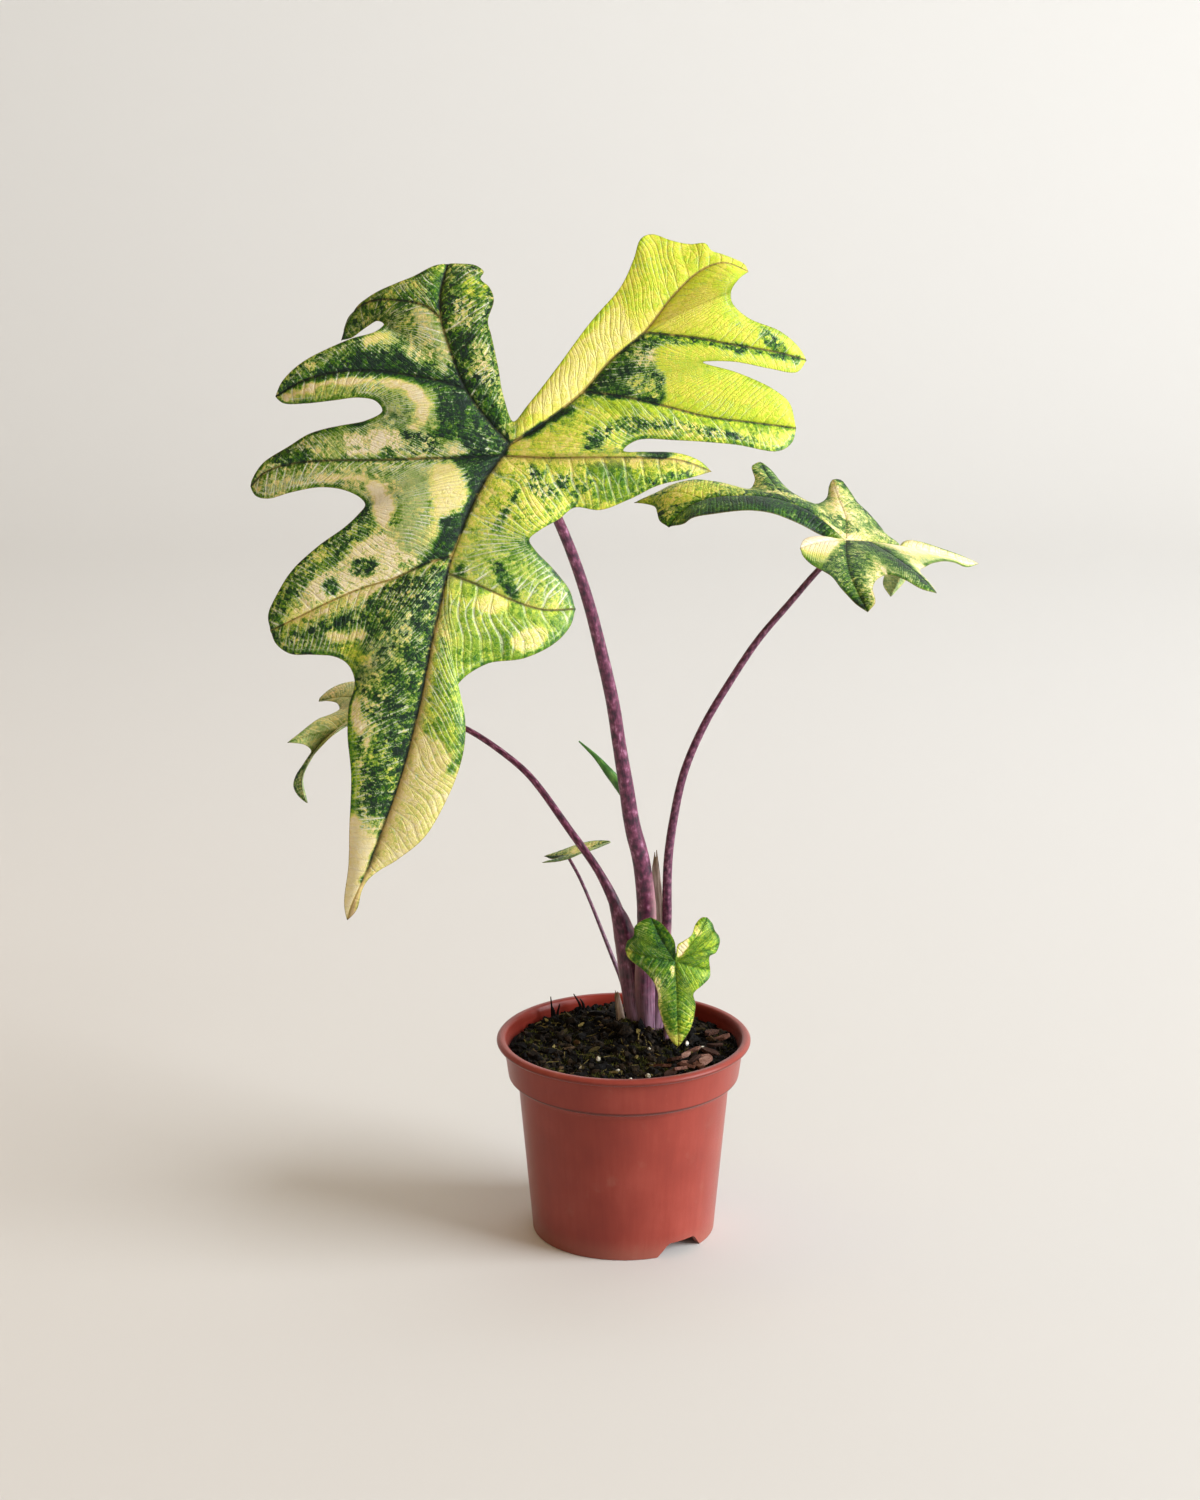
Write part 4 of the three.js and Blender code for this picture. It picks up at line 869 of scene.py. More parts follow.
def tube_rings(knots, sides, per_span, sheaths=()):
    """Rings along a stalk, with how far along and around it each point lies, and its sheath share."""
    line, _, half = sized_path(knots, per_span)
    ahead = np.gradient(line, axis=0)
    ahead /= np.linalg.norm(ahead, axis=1)[:, None]
    across = np.array([1.0, 0, 0]) - ahead[:, :1] * ahead
    across /= np.linalg.norm(across, axis=1)[:, None]
    deep = np.cross(ahead, across)
    turn = np.arange(sides) / sides * 2 * math.pi
    along = running_length(line)
    swell = np.ones((len(line), sides))
    wing = np.zeros((len(line), sides))
    for low, high, facing, width, sharp in sheaths:
        middle, reach = (low + high) / 2, (high - low) / 2
        rise = np.clip(1 - ((line[:, 2] - middle) / reach) ** 2, 0, 1) ** 0.6
        away = np.angle(np.exp(1j * (turn - math.radians(facing))))
        lift = rise[:, None] * np.exp(-(away[None, :] / math.radians(sharp)) ** 2)
        swell += lift * width / half.mean(1)[:, None]
        wing = np.maximum(wing, lift)
    flat = np.stack([np.repeat(along, sides), np.tile(turn * 4, len(line)), np.zeros(swell.size)], 1)
    swell += layers_of_grain(flat, SKIN_LUMPS).reshape(swell.shape)
    rings = (line[:, None, :]
             + (half[:, :1] * np.cos(turn) * swell)[:, :, None] * across[:, None, :]
             + (half[:, 1:] * np.sin(turn) * swell)[:, :, None] * deep[:, None, :])
    return {"rings": rings, "along": along, "around": turn / (2 * math.pi) * MAP_ROUND, "wing": wing}


def part_of(tube, low=-math.inf, high=math.inf):
    """The rings whose middles lie between two heights."""
    level = tube["rings"][:, :, 2].mean(1)
    kept = (level >= low) & (level <= high)
    return {**tube, **{name: tube[name][kept] for name in ("rings", "along", "wing")}}


print("width of a stalk's map, mm:", MAP_ROUND)


# %% Mesh of a tube
def tube_mesh(name, tubes, finish):
    """One mesh of closed tubes. A map called stalk_map holds millimetres around and along."""
    points, faces, mapped, wing = [], [], [], []
    for tube in tubes:
        rings, along = tube["rings"], tube["along"]
        count, sides = rings.shape[:2]
        first = len(points)
        points += list(rings.reshape(-1, 3))
        wing += list(tube["wing"].reshape(-1))
        around = np.append(tube["around"], MAP_ROUND)
        for ring in range(count - 1):
            faces += between_rings(first + ring * sides, sides)
            low, high = along[ring:ring + 2]
            for left, right in zip(around, around[1:]):
                mapped += [(left, low), (right, low), (right, high), (left, high)]
        for ring, order in ((0, -1), (count - 1, 1)):
            start = len(points)
            points += list(rings[ring])
            wing += list(tube["wing"][ring])
            faces.append(tuple(range(start, start + sides))[::order])
            mapped += [(left, along[ring]) for left in around[:-1]][::order]
    made = add_mesh(name, points, faces, finish)
    give_map(made, "stalk_map", np.array(mapped))
    give_numbers(made, "wing", wing)
    count_line(made)
    return made


print("tube helper ready")


# %% Stalk skin
def stalk_finish(name, dark, middle, light, glint, band_mm, contrast=1.0):
    """Skin with blotches that are wider across the stalk than along it."""
    made = Finish(name, Specular_IOR_Level=0.5, Subsurface_Weight=0.05, Subsurface_Scale=0.002)
    mapped = made.node("UVMap", {}, uv_map="stalk_map").outputs[0]
    bands = made.noise(made.stretched(mapped, 30.0, MAP_UNIT_MM / band_mm, 1.0), 1.0)
    specks = made.noise(made.stretched(mapped, 95.0, 220 / band_mm, 1.0), 1.0, 3.0)
    ridges = made.noise(made.stretched(mapped, 160.0, 5.0, 1.0), 1.0)
    shade = made.times_plus(bands, 2.0 * contrast, 0.48)
    shade = made.times_plus(specks, 0.6 * contrast, shade)
    shade = made.times_plus(ridges, 0.5 * contrast, shade)
    base = made.ramp(shade, [(0.12, dark), (0.42, middle), (0.66, light), (0.95, glint)])
    base = made.mix(made.times(made.number("wing"), 0.75), base, "#bb9092")
    height = made.parts(made.object_place())[2]
    foot = made.times(made.step(height, 0.095, 0.14, 0.9, 0.0), made.step(ridges, -0.25, 0.1))
    base = made.mix(foot, base, "#96788a")
    return made.surface(base, made.times_plus(specks, 0.3, 0.4), made.times_plus(ridges, 0.6, specks), 0.12)


purple_skin = stalk_finish("purple_skin", "#2d0f25", "#571f3c", "#753653", "#a26c89", 4.4)
slim_skin = stalk_finish("slim_skin", "#2f1228", "#582440", "#723e56", "#96667c", 2.6)
print("stalk finishes: purple_skin, slim_skin")

# %% The stalks
# Each sheath: the heights where it starts and ends, where it faces, its width and how sharp it is.
main_tube = tube_rings(MAIN_STALK, 40, 12, [(118, 176, -25, 1.0, 26), (96, 150, 200, 0.7, 30)])
left_tube = tube_rings(LEFT_STALK, 32, 12, [(104, 156, 165, 1.2, 24), (96, 152, 8, 2.3, 22)])
right_tube = tube_rings(RIGHT_STALK, 28, 12, [(100, 150, -30, 0.5, 35)])
core_tube = tube_rings(CORE_STALK, 28, 14)
lower = [part_of(tube, high=CLASP_TOP_Z) for tube in (main_tube, left_tube, right_tube, core_tube)]
belongs(tube_mesh("clasped_base", lower, purple_skin), "petiole", "stem_base")
for name, tube, skin in (("petiole_main", main_tube, purple_skin), ("petiole_left", left_tube, purple_skin),
                         ("petiole_right", right_tube, slim_skin)):
    joint = tube["rings"][:, :, 2].mean(1)
    start = joint[joint <= CLASP_TOP_Z].max()
    belongs(tube_mesh(name + "_stalk", [part_of(tube, low=start)], skin), "petiole", name)
for name, knots in (("petiole_back", BACK_STALK), ("petiole_front", FRONT_STALK)):
    belongs(tube_mesh(name + "_stalk", [tube_rings(knots, 20, 12)], slim_skin), "petiole", name)

# %% [markdown]
# ## The young leaf and the dry sheath
# The young leaf is still rolled up, so it is a pointed spindle with a seam that winds round it. The dry
# sheath is what is left of an old leaf: a thin, tan, fibrous trough whose top has torn.
# The spindle is a tube with a small step along a spiral. The sheath is a curled strip with its own
# thickness, because a closed tube would look too heavy.

# %% Young leaf and sheath paths
# Those of the young leaf and of the dry sheath are repeated from the solids.
YOUNG_LEAF = [[11.5, 18.5, 134.3, 1.5, 1.3], [11, 16.4, 159, 1.6, 1.3], [8.5, 13, 179.5, 1.6, 1.4],
    [4.5, 9.5, 198, 1.7, 1.5], [1.5, 6.5, 211, 2, 1.6], [-2.5, 5, 219, 2.4, 1.6], [-7, 6, 225, 2.2, 1.3],
    [-13, 9, 231.5, 1.2, 0.8], [-21, 13, 238, 0.35, 0.35]]
DRY_SHEATH = [[16.6, 17.2, 134.3, 2.8, 0.6], [16.4, 15.8, 148.5, 2.7, 0.55], [15.8, 14.6, 164, 2.3, 0.5],
    [15, 13.6, 176, 1.6, 0.45], [15, 13, 181, 0.6, 0.4]]
BACK_SHEATH = [[-0.6, 22, 90, 2.2, 2], [-1.4, 22.4, 98, 2, 1.9], [-2.3, 23, 104, 1.6, 1.6],
    [-3.2, 23.6, 109, 1.2, 1.2]]
print("young leaf tip height, mm:", YOUNG_LEAF[-1][2])


# %% Rolled young leaf
SPIRAL_TURNS = 1.3
LAP_STEP = 0.2


def rolled_leaf(finish, sides=36):
    """A spindle whose edge laps over itself along a slow spiral."""
    tube = tube_rings(YOUNG_LEAF, sides, 14)
    rings = tube["rings"]
    middle = rings.mean(1, keepdims=True)
    turn = np.arange(sides) / sides
    level = tube["along"] / tube["along"][-1]
    lap = (turn[None, :] + SPIRAL_TURNS * level[:, None]) % 1.0
    strength = np.clip((level - 0.45) / 0.2, 0, 1)[:, None]
    swell = 1 + strength * (LAP_STEP * lap - LAP_STEP / 2)
    tube["rings"] = middle + (rings - middle) * swell[:, :, None]
    return tube_mesh("rolled_leaf", [tube], finish)


young_skin = stalk_finish("young_skin", "#1f3f1b", "#3d6e2b", "#5d8f3d", "#93ad5c", 5.0, 0.6)
belongs(rolled_leaf(young_skin), "young_leaf", "young_leaf")


# %% Dry papery sheath
# Height, size and seed of the paper's crinkles, and size and seed of its torn edge
CRINKLES = (0.22, 1.6, 12)
TEAR = (2.3, 13)


def papery_trough(name, knots, opening, facing, thickness, ragged, finish, columns=24):
    """A curled strip along a path, open on one side, with a torn top edge."""
    line, place, half = sized_path(knots, 14)
    turn = np.radians(facing) + np.linspace(opening / 2, 2 * math.pi - opening / 2, columns)
    skins = []
    for inset in (0.0, thickness):
        wide = np.maximum(half - inset, 0.12)
        skin = np.stack([line[:, :1] + wide[:, :1] * np.cos(turn), line[:, 1:2] + wide[:, 1:] * np.sin(turn),
                         np.repeat(line[:, 2:], columns, 1)], 2)
        flat = skin.reshape(-1, 3) * [1, 1, 0.25]
        skin += layers_of_grain(flat, [CRINKLES]).reshape(skin.shape[:2])[:, :, None] * [0.5, 1, 0]
        top = ragged * grain(np.stack([np.arange(columns) * 1.0, turn, turn], 1), *TEAR)
        skin[:, :, 2] += place[:, None] ** 3 / place[-1] ** 3 * top[None, :]
        skins.append(skin.reshape(-1, 3))
    rows, count = len(line), len(skins[0])
    faces = []
    for row in range(rows - 1):
        for column in range(columns - 1):
            a = row * columns + column
            faces.append((a, a + 1, a + columns + 1, a + columns))
            faces.append((a + count, a + columns + count, a + columns + 1 + count, a + 1 + count))
        for a, order in ((row * columns, -1), (row * columns + columns - 1, 1)):
            faces.append((a, a + columns, a + columns + count, a + count)[::order])
    for low in range(columns - 1):
        high = (rows - 1) * columns + low
        faces.append((low + 1, low, low + count, low + 1 + count))
        faces.append((high, high + 1, high + 1 + count, high + count))
    made = add_mesh(name, np.vstack(skins), faces, finish)
    give_numbers(made, "height", np.tile(np.repeat(place / place[-1], columns), 2))
    count_line(made)
    return made


def papery_finish():
    """Tan paper with upright threads and a darker torn top."""
    made = Finish("dry_paper", Specular_IOR_Level=0.25)
    place = made.object_place()
    threads = made.noise(made.stretched(place, 1.0, 1.0, 0.07), 1500.0, 3.0)
    clouds = made.noise(place, 130.0, 3.0)
    shade = made.times_plus(clouds, 0.7, made.times_plus(threads, 1.1, 0.45))
    base = made.ramp(shade, [(0.15, "#9d887a"), (0.5, "#c7b3a4"), (0.85, "#e0d3c7")])
    tip = made.step(made.number("height"), 0.72, 1.0, 0.0, 0.8)
    base = made.mix(tip, base, "#7d6340")
    return made.surface(base, made.times_plus(threads, 0.2, 0.75), threads, 0.25)


dry_paper = papery_finish()
dry_sheath = papery_trough("papery_sheath", DRY_SHEATH, 1.2, -40, 0.3, 4.0, dry_paper)
belongs(dry_sheath, "dry_sheath", "dry_sheath")
back_sheath = papery_trough("back_sheath", BACK_SHEATH, 0.8, 200, 0.25, 2.5, dry_paper)
belongs(back_sheath, "dry_sheath")

# %% [markdown]
# ## How a leaf is built
# A blade of this plant is a tree of ribs. Between two neighbouring rib tips lies a web, whose outer edge
# dips to a sinus between the lobes. Rows of points run from the ribs out to the margin, and that is also
# the way the side veins run, so one grid gives the outline, the veins and the puckered skin.
# A subdivided flat cut-out would be quicker, but its veins would not follow the lobes.

# %% The big leaf's ribs and webs, repeated from the solids
# A point is across, along and up from where the stalk meets the blade, in millimetres.
# A branch names the rib that it leaves, and at which of that rib's knots.
# A web names its two ribs, the place of its sinus in the margin, and the margin's points.
MAIN_LEAF = {
  "keel": 1.5,
  "branches": {"curled": ("left_back", 4), "left_high": ("left_back", 2), "left_mid": ("midrib", 1),
    "left_low": ("midrib", 5), "right_low": ("midrib", 6), "right_mid": ("midrib", 1),
    "right_high": ("right_back", 3), "right_top": ("right_back", 5)},
  "ribs": {
    "midrib": [[0, 0, 0], [-3.5, -5, 0], [-10, -14, 1], [-17.5, -28.5, 2], [-22.5, -42, 3], [-25, -48.5, 3],
      [-27, -56, 3], [-30, -69.5, 4], [-34, -87, 5], [-37.5, -106.5, 5], [-41.5, -123.5, 4],
      [-47.5, -145, 2], [-55.5, -167, -2], [-63.5, -187.5, -9], [-69.5, -200, -17], [-72, -207, -24]],
    "left_back": [[0, 0, 0], [-9, 9.5, 1], [-19, 23.5, 1], [-25.5, 39.5, 0], [-30, 54.5, -3],
      [-30.5, 65.5, -7], [-27.5, 79.5, -13]],
    "curled": [[-36.5, 60, -5], [-48, 63, -8], [-60, 63.5, -13], [-70, 58.5, -20], [-75, 47.5, -27]],
    "left_high": [[-30, 27, 1], [-45.5, 30, 0], [-62, 32, -1], [-78, 31, -3], [-91, 27.5, -6],
      [-102.5, 21.5, -12]],
    "left_mid": [[-21.5, -6, 1], [-39.5, -6.5, 1], [-59, -7, 0], [-78, -7, -2], [-94.5, -8, -6],
      [-106.5, -11.5, -9], [-113.5, -17.5, -13]],
    "left_low": [[-35.5, -51.5, 3], [-49.5, -58, 2], [-64.5, -62.5, 0], [-80, -69, -2], [-92.5, -75, -5],
      [-104.5, -80.5, -9]],
    "right_low": [[-14, -61, 3], [-0.5, -67, 1], [14, -71.5, -2], [28.5, -71, -8]],
    "right_mid": [[15, -6, 2], [34.5, -6, 3], [54, -6, 2], [73.5, -7, 0], [87.5, -11.5, -6]],
    "right_back": [[0, 0, 0], [8.5, 5, 1], [20, 13, 1], [31.5, 22.5, 1], [44, 36.5, 2], [58, 48, 2],
      [70.5, 64, 0], [82, 75, -3], [92.5, 79, -5], [103.5, 75.5, -8]],
    "right_high": [[47.5, 20.5, 2], [66, 16.5, 1], [85, 12, -2], [104, 10, -7], [124.5, 8, -14]],
    "right_top": [[78, 46, 1], [97, 43, -2], [115, 40.5, -7], [129, 37.5, -13]],
  },
  "webs": [
    ["left_back", "curled", 1, [[-33, 78.5, -12], [-42.5, 73.5, -12], [-56, 68, -14], [-67, 61.5, -18],
      [-73, 52.5, -24]]],
    ["curled", "left_high", 3, [[-70, 48.5, -24], [-64, 52, -19], [-58, 54.5, -13], [-55, 52.5, -9],
      [-58.5, 49, -5], [-68.5, 46, -3], [-81.5, 40.5, -4], [-92, 34.5, -5], [-99, 28, -8]]],
    ["left_high", "left_mid", 5, [[-99, 18.5, -11], [-88.5, 18, -6], [-76, 19, -2], [-65.5, 20, 0],
      [-58, 18.5, 1], [-55, 14, 2], [-62, 10, 1], [-73.5, 8, -1], [-86.5, 5, -4], [-97.5, -1, -7],
      [-108, -8, -10], [-112.5, -14.5, -12]]],
    ["left_mid", "left_low", 6, [[-111, -21.5, -12], [-105.5, -23, -10], [-95, -20.5, -6],
      [-82.5, -18.5, -3], [-71.5, -20, 0], [-64.5, -23.5, 1], [-62.5, -26.5, 2], [-65, -30, 1],
      [-71.5, -36, 0], [-83, -44, -2], [-94, -54, -4], [-101.5, -65, -7], [-105.5, -74, -9]]],
    ["left_low", "midrib", 5, [[-102, -86, -8], [-95.5, -90.5, -6], [-85.5, -91, -3], [-75.5, -92, -1],
      [-70, -95.5, 0], [-67, -103.5, 2], [-69.5, -113, 2], [-70, -125.5, 2], [-68.5, -143, 1],
      [-69.5, -162.5, -2], [-70.5, -182.5, -8], [-72.5, -197.5, -17]]],
    ["midrib", "right_low", 9, [[-67.5, -201.5, -19], [-65, -193, -14], [-61, -187.5, -11],
      [-49.5, -180, -6], [-37, -170, -1], [-27.5, -154.5, 3], [-21.5, -139.5, 5], [-19, -125.5, 5],
      [-20, -114, 3], [-23.5, -106.5, 2], [-20.5, -101.5, 2], [-10, -95, 1], [6.5, -92.5, 0],
      [19.5, -86, -3], [26.5, -78, -6]]],
    ["right_low", "right_mid", 3, [[25.5, -62.5, -6], [18, -53, -2], [11, -46, 2], [8.5, -41.5, 4],
      [13, -37.5, 4], [21.5, -32.5, 2], [28, -27.5, 0], [39, -28.5, -1], [51.5, -24, 0], [64, -18, 1],
      [78, -14.5, -2]]],
    ["right_mid", "right_high", 3, [[82, -7, -4], [73, -4, -2], [58.5, -3.5, 0], [49, -3, 2], [55, 1.5, 1],
      [73.5, 1.5, 0], [97, 0, -3], [116.5, -2.5, -8], [123, 2, -12]]],
    ["right_high", "right_top", 3, [[121.5, 18.5, -10], [113.5, 24.5, -6], [97, 31.5, -2], [83.5, 35, 2],
      [96.5, 35.5, 0], [112.5, 33, -5], [124.5, 32, -10]]],
    ["right_top", "right_back", 4, [[126, 42.5, -11], [117, 49.5, -7], [103.5, 54.5, -3], [96, 61, 1],
      [95.5, 65.5, 2], [99, 71.5, -2]]],
    ["right_back", "left_back", 13, [[101.5, 79, -9], [92, 83.5, -9], [87.5, 85, -9], [85, 88, -9],
      [78, 87.5, -9], [70, 89, -8], [61.5, 92, -9], [56.5, 89.5, -6], [53.5, 80.5, -3], [48.5, 69, 0],
      [35, 52.5, 3], [20.5, 33, 4], [8.5, 17.5, 3], [1.5, 9.5, 1], [-2.5, 20, 2], [-5, 33, 2], [-8, 47, 1],
      [-9.5, 53, 0], [-7, 62.5, -3], [-9, 68.5, -6], [-13, 72.5, -8], [-11.5, 75.5, -9], [-15.5, 79, -11],
      [-22, 79.5, -12]]],
  ],
}
print("big leaf: ribs", len(MAIN_LEAF["ribs"]), "webs", len(MAIN_LEAF["webs"]))

# %% The right and left leaves
RIGHT_LEAF = {
  "keel": 1,
  "branches": {"far_low": ("midrib", 2), "far_high": ("far_back", 2), "thin": ("far_back", 5),
    "near_mid": ("midrib", 1)},
  "ribs": {
    "midrib": [[0, 0, 0], [11.5, 8, -2.5], [26.5, 18, -7], [41, 28, -12.5], [54, 36, -17], [66, 43, -21.5]],
    "far_low": [[30, 30, -16.5], [28, 38, -28], [24.5, 41, -37]],
    "far_mid": [[0, 0, 0], [1, 20, 6], [-1.5, 34, 12], [-3.5, 48, 18]],
    "far_back": [[0, 0, 0], [-11, 6, 8.5], [-23, 12, 14], [-37, 15, 17], [-50.5, 17, 17], [-64.5, 18, 15],
      [-74.5, 16, 10], [-81, 13, 3]],
    "far_high": [[-30, 26, 18], [-34.5, 38, 22], [-37.5, 48, 26.5]],
    "thin": [[-76, 25, 17], [-87.5, 31, 14], [-97, 34, 10]],
    "near_back": [[0, 0, 0], [-8, -8, 1.5], [-15, -15, 2], [-22, -22, 1.5]],
    "near_low": [[0, 0, 0], [-1, -20, -3], [0, -37, -8], [3, -49, -13.5], [6.5, -59, -19]],
    "near_mid": [[21.5, -6, -6], [31, -20, -10.5], [39.5, -34, -16.5]],
  },
  "webs": [
    ["midrib", "far_low", 3, [[59, 42, -18], [49, 39, -13.5], [38, 37, -9.5], [33, 38, -10],
      [35.5, 44, -18], [32.5, 47, -29]]],
    ["far_low", "far_mid", 3, [[21, 42, -31], [22.5, 38, -21.5], [23.5, 38, -12.5], [20, 35, -3.5],
      [13.5, 36, 4.5], [8, 39, 9], [4, 44, 14], [0.5, 48, 17.5]]],
    ["far_mid", "far_high", 2, [[-5, 46, 15], [-7, 37, 11.5], [-13, 28, 11], [-19.5, 31, 13.5],
      [-26, 37, 17], [-31.5, 44, 22]]],
    ["far_high", "thin", 2, [[-41.5, 44, 25], [-40.5, 35, 20.5], [-43, 29, 17.5], [-50, 31, 18.5],
      [-59.5, 34, 20], [-68.5, 36, 20.5], [-79, 38, 17.5], [-88.5, 38, 12.5]]],
    ["thin", "far_back", 2, [[-90.5, 30, 10], [-87, 26, 9.5], [-86, 21, 7.5], [-85, 17, 5]]],
    ["far_back", "near_back", 8, [[-74, 8, 5.5], [-70, 5, 9], [-60.5, 3, 11.5], [-49.5, 1, 13.5],
      [-41, 0, 14], [-32.5, 0, 12.5], [-21.5, 0, 8], [-11, 1, 2], [-4.5, -1, 0.5], [-10.5, -4, 3],
      [-16.5, -9, 4], [-20.5, -16, 3.5]]],
    ["near_back", "near_low", 2, [[-21, -26, -1], [-17.5, -30, -4], [-13, -34, -6], [-8.5, -39, -8],
      [-4.5, -46, -11.5], [1.5, -54, -16.5]]],
    ["near_low", "near_mid", 3, [[10, -56, -15.5], [9.5, -46, -11.5], [12.5, -36, -9.5], [17.5, -30, -9],
      [24.5, -32, -10.5], [32.5, -36, -14]]],
    ["near_mid", "midrib", 2, [[37, -24, -14], [33.5, -12, -12], [37, 0, -12.5], [45, 18, -14.5],
      [53, 30, -17.5], [60.5, 38, -22]]],
  ],
}
LEFT_LEAF = {
  "keel": 1,
  "branches": {"near_mid": ("midrib", 1), "far_low": ("midrib", 2)},
  "ribs": {
    "midrib": [[0, 0, 0], [-13.5, -4, -4], [-25, -4, -10.5], [-33.5, -1, -18], [-40, 4, -27.5],
      [-45, 9, -40], [-43, 11, -53]],
    "near_mid": [[-11.5, -20, -9.5], [-9, -32, -14.5], [-5.5, -42, -19]],
    "near_back": [[0, 0, 0], [8.5, -16, -1.5], [16, -33, -6], [24, -48, -13]],
    "far_back": [[0, 0, 0], [3.5, 14, 0], [9.5, 29, 2], [18, 44, 2]],
    "far_high": [[0, 0, 0], [-13.5, 18, -2], [-26.5, 31, -4.5], [-38.5, 40, -9]],
    "far_low": [[-34.5, -6, -12], [-42.5, -10, -13], [-49.5, -16, -14]],
  },
  "webs": [
    ["midrib", "near_mid", 4, [[-44, 8, -48], [-44.5, 5, -39.5], [-40, -2, -27], [-32.5, -11, -16],
      [-21.5, -20, -4.5], [-16, -30, -7], [-11.5, -38, -13]]],
    ["near_mid", "near_back", 2, [[-1, -39, -14], [0.5, -32, -7], [4.5, -27, -3], [9.5, -36, -6],
      [16, -44, -10.5]]],
    ["near_back", "far_back", 4, [[26, -42, -9], [22.5, -32, -3], [14.5, -20, 0], [7, -10, 1.5],
      [4, 2, 0.5], [9, 12, 1], [15, 24, 2], [19, 36, 3]]],
    ["far_back", "far_high", 2, [[12, 45, 2], [2, 38, 1], [-7, 38, 0], [-22.5, 50, -1.5], [-29.5, 49, -3.5],
      [-34.5, 46, -6]]],
    ["far_high", "far_low", 2, [[-33.5, 34, -7.5], [-28.5, 27, -6.5], [-26.5, 17, -7], [-28.5, 13, -7],
      [-36, 4, -8], [-44.5, -8, -12]]],
    ["far_low", "midrib", 2, [[-43, -13, -15.5], [-40, -6, -19.5], [-39.5, 0, -23.5], [-43, 6, -30],
      [-47.5, 12, -38], [-49.5, 15, -45], [-47.5, 14, -49.5]]],
  ],
}
print("right leaf ribs:", len(RIGHT_LEAF["ribs"]), "left leaf ribs:", len(LEFT_LEAF["ribs"]))

# %% The two small leaves
BACK_LEAF = {
  "keel": 0.6,
  "branches": {},
  "ribs": {
    "midrib": [[0, 0, 0], [6, 0, 1.5], [13, 1, 3.5], [20, 1, 6.5]],
    "far_back": [[0, 0, 0], [-6, 6, -2], [-12.5, 13, -4.5]],
    "near_back": [[0, 0, 0], [-6, -6, 0], [-13, -12, 0.5]],
  },
  "webs": [
    ["midrib", "far_back", 2, [[15, 7, 5], [7.5, 13, 2], [1, 16, -1], [-6.5, 17, -4]]],
    ["far_back", "near_back", 1, [[-9, 7, -4], [-4, 1, -1], [-9, -5, -1]]],
    ["near_back", "midrib", 1, [[-6, -16, 2], [1, -17, 4], [8, -13, 5.5], [15, -6, 6.5]]],
  ],
}
FRONT_LEAF = {
  "keel": 0.7,
  "branches": {},
  "ribs": {
    "midrib": [[0, 0, 0], [0.5, -11, 1], [1, -25, 1], [1.5, -41.5, -4]],
    "left_high": [[0, 0, 0], [-5.5, 8.5, 0], [-11.5, 20, -5]],
    "left_low": [[0, 0, 0], [-9.5, 1.5, 0], [-16.5, 3, -2], [-23.5, 4.5, -6]],
    "right_low": [[0, 0, 0], [8, -2.5, 0], [16.5, -4.5, -4]],
    "right_mid": [[0, 0, 0], [7.5, 3.5, 0], [14.5, 5, -1], [21, 8, -4]],
    "right_high": [[0, 0, 0], [7, 8, 1], [11.5, 14, 0], [15, 20, -4]],
  },
  "webs": [
    ["left_high", "left_low", 2, [[-15.5, 18.5, -5], [-19, 15.5, -4], [-19.5, 11.5, -3], [-22.5, 8.5, -5]]],
    ["left_low", "midrib", 3, [[-21.5, 0.5, -4], [-15, -4.5, -1], [-10, -10, 1], [-8, -15.5, 1],
      [-8, -21, 0], [-5.5, -30, -1], [-2.5, -37, -3]]],
    ["midrib", "right_low", 3, [[4.5, -37, -3], [7.5, -31.5, -2], [9.5, -20.5, 0], [8.5, -15, 1],
      [13, -11, 0], [16, -8, -2]]],
    ["right_low", "right_mid", 1, [[16, -1.5, -2], [16, 2, -1], [19, 3.5, -3]]],
    ["right_mid", "right_high", 1, [[20.5, 11, -4], [18.5, 14, -3], [17.5, 17, -4]]],
    ["right_high", "left_high", 5, [[12.5, 20, -4], [9.5, 17, -2], [7.5, 12.5, 1], [4, 10, 2], [1, 8, 2],
      [0.5, 3, 1], [-0.5, 10, 1], [-3.5, 14.5, 0], [-7, 18, -3]]],
  ],
}
print("small leaf ribs:", len(BACK_LEAF["ribs"]), len(FRONT_LEAF["ribs"]))


# %% Ribs
BRANCH_SHARE = 0.55
RIB_TAPER = 0.72
MOST_CROWDED = 2.2


def rib_key(leaf, name, step, fine):
    """Names a rib's sample. A branch shares its first sample with its parent rib."""
    if step > 0:
        return (name, step)
    if name in leaf["branches"]:
        parent, knot = leaf["branches"][name]
        return (parent, knot * fine)
    return ("heart", 0)


def grow_ribs(leaf, fine):
    """Samples of all ribs, their width there, and each rib's way home to the heart of the leaf."""
    places, widths, home, counts = {}, {}, {}, {}
    for name, knots in leaf["ribs"].items():
        thick, way_home = leaf["keel"], []
        if name in leaf["branches"]:
            parent, knot = leaf["branches"][name]
            knots = [leaf["ribs"][parent][knot], *knots]
            thick *= BRANCH_SHARE
            way_home = [(parent, step) for step in range(knot * fine, 0, -1)]
        line = smooth_path(knots, fine)
        counts[name] = len(line) - 1
        for step, point in enumerate(line):
            key = rib_key(leaf, name, step, fine)
            if key not in places:
                places[key] = point
                widths[key] = thick * (1 - RIB_TAPER * step / counts[name])
        home[name] = [(name, step) for step in range(counts[name], 0, -1)] + way_home + [("heart", 0)]
    return places, widths, home, counts


def at_share(line, shares):
    """Points at given shares of a line's length."""
    run = running_length(line)
    return np.stack([np.interp(shares * run[-1], run, line[:, axis]) for axis in range(3)], 1)


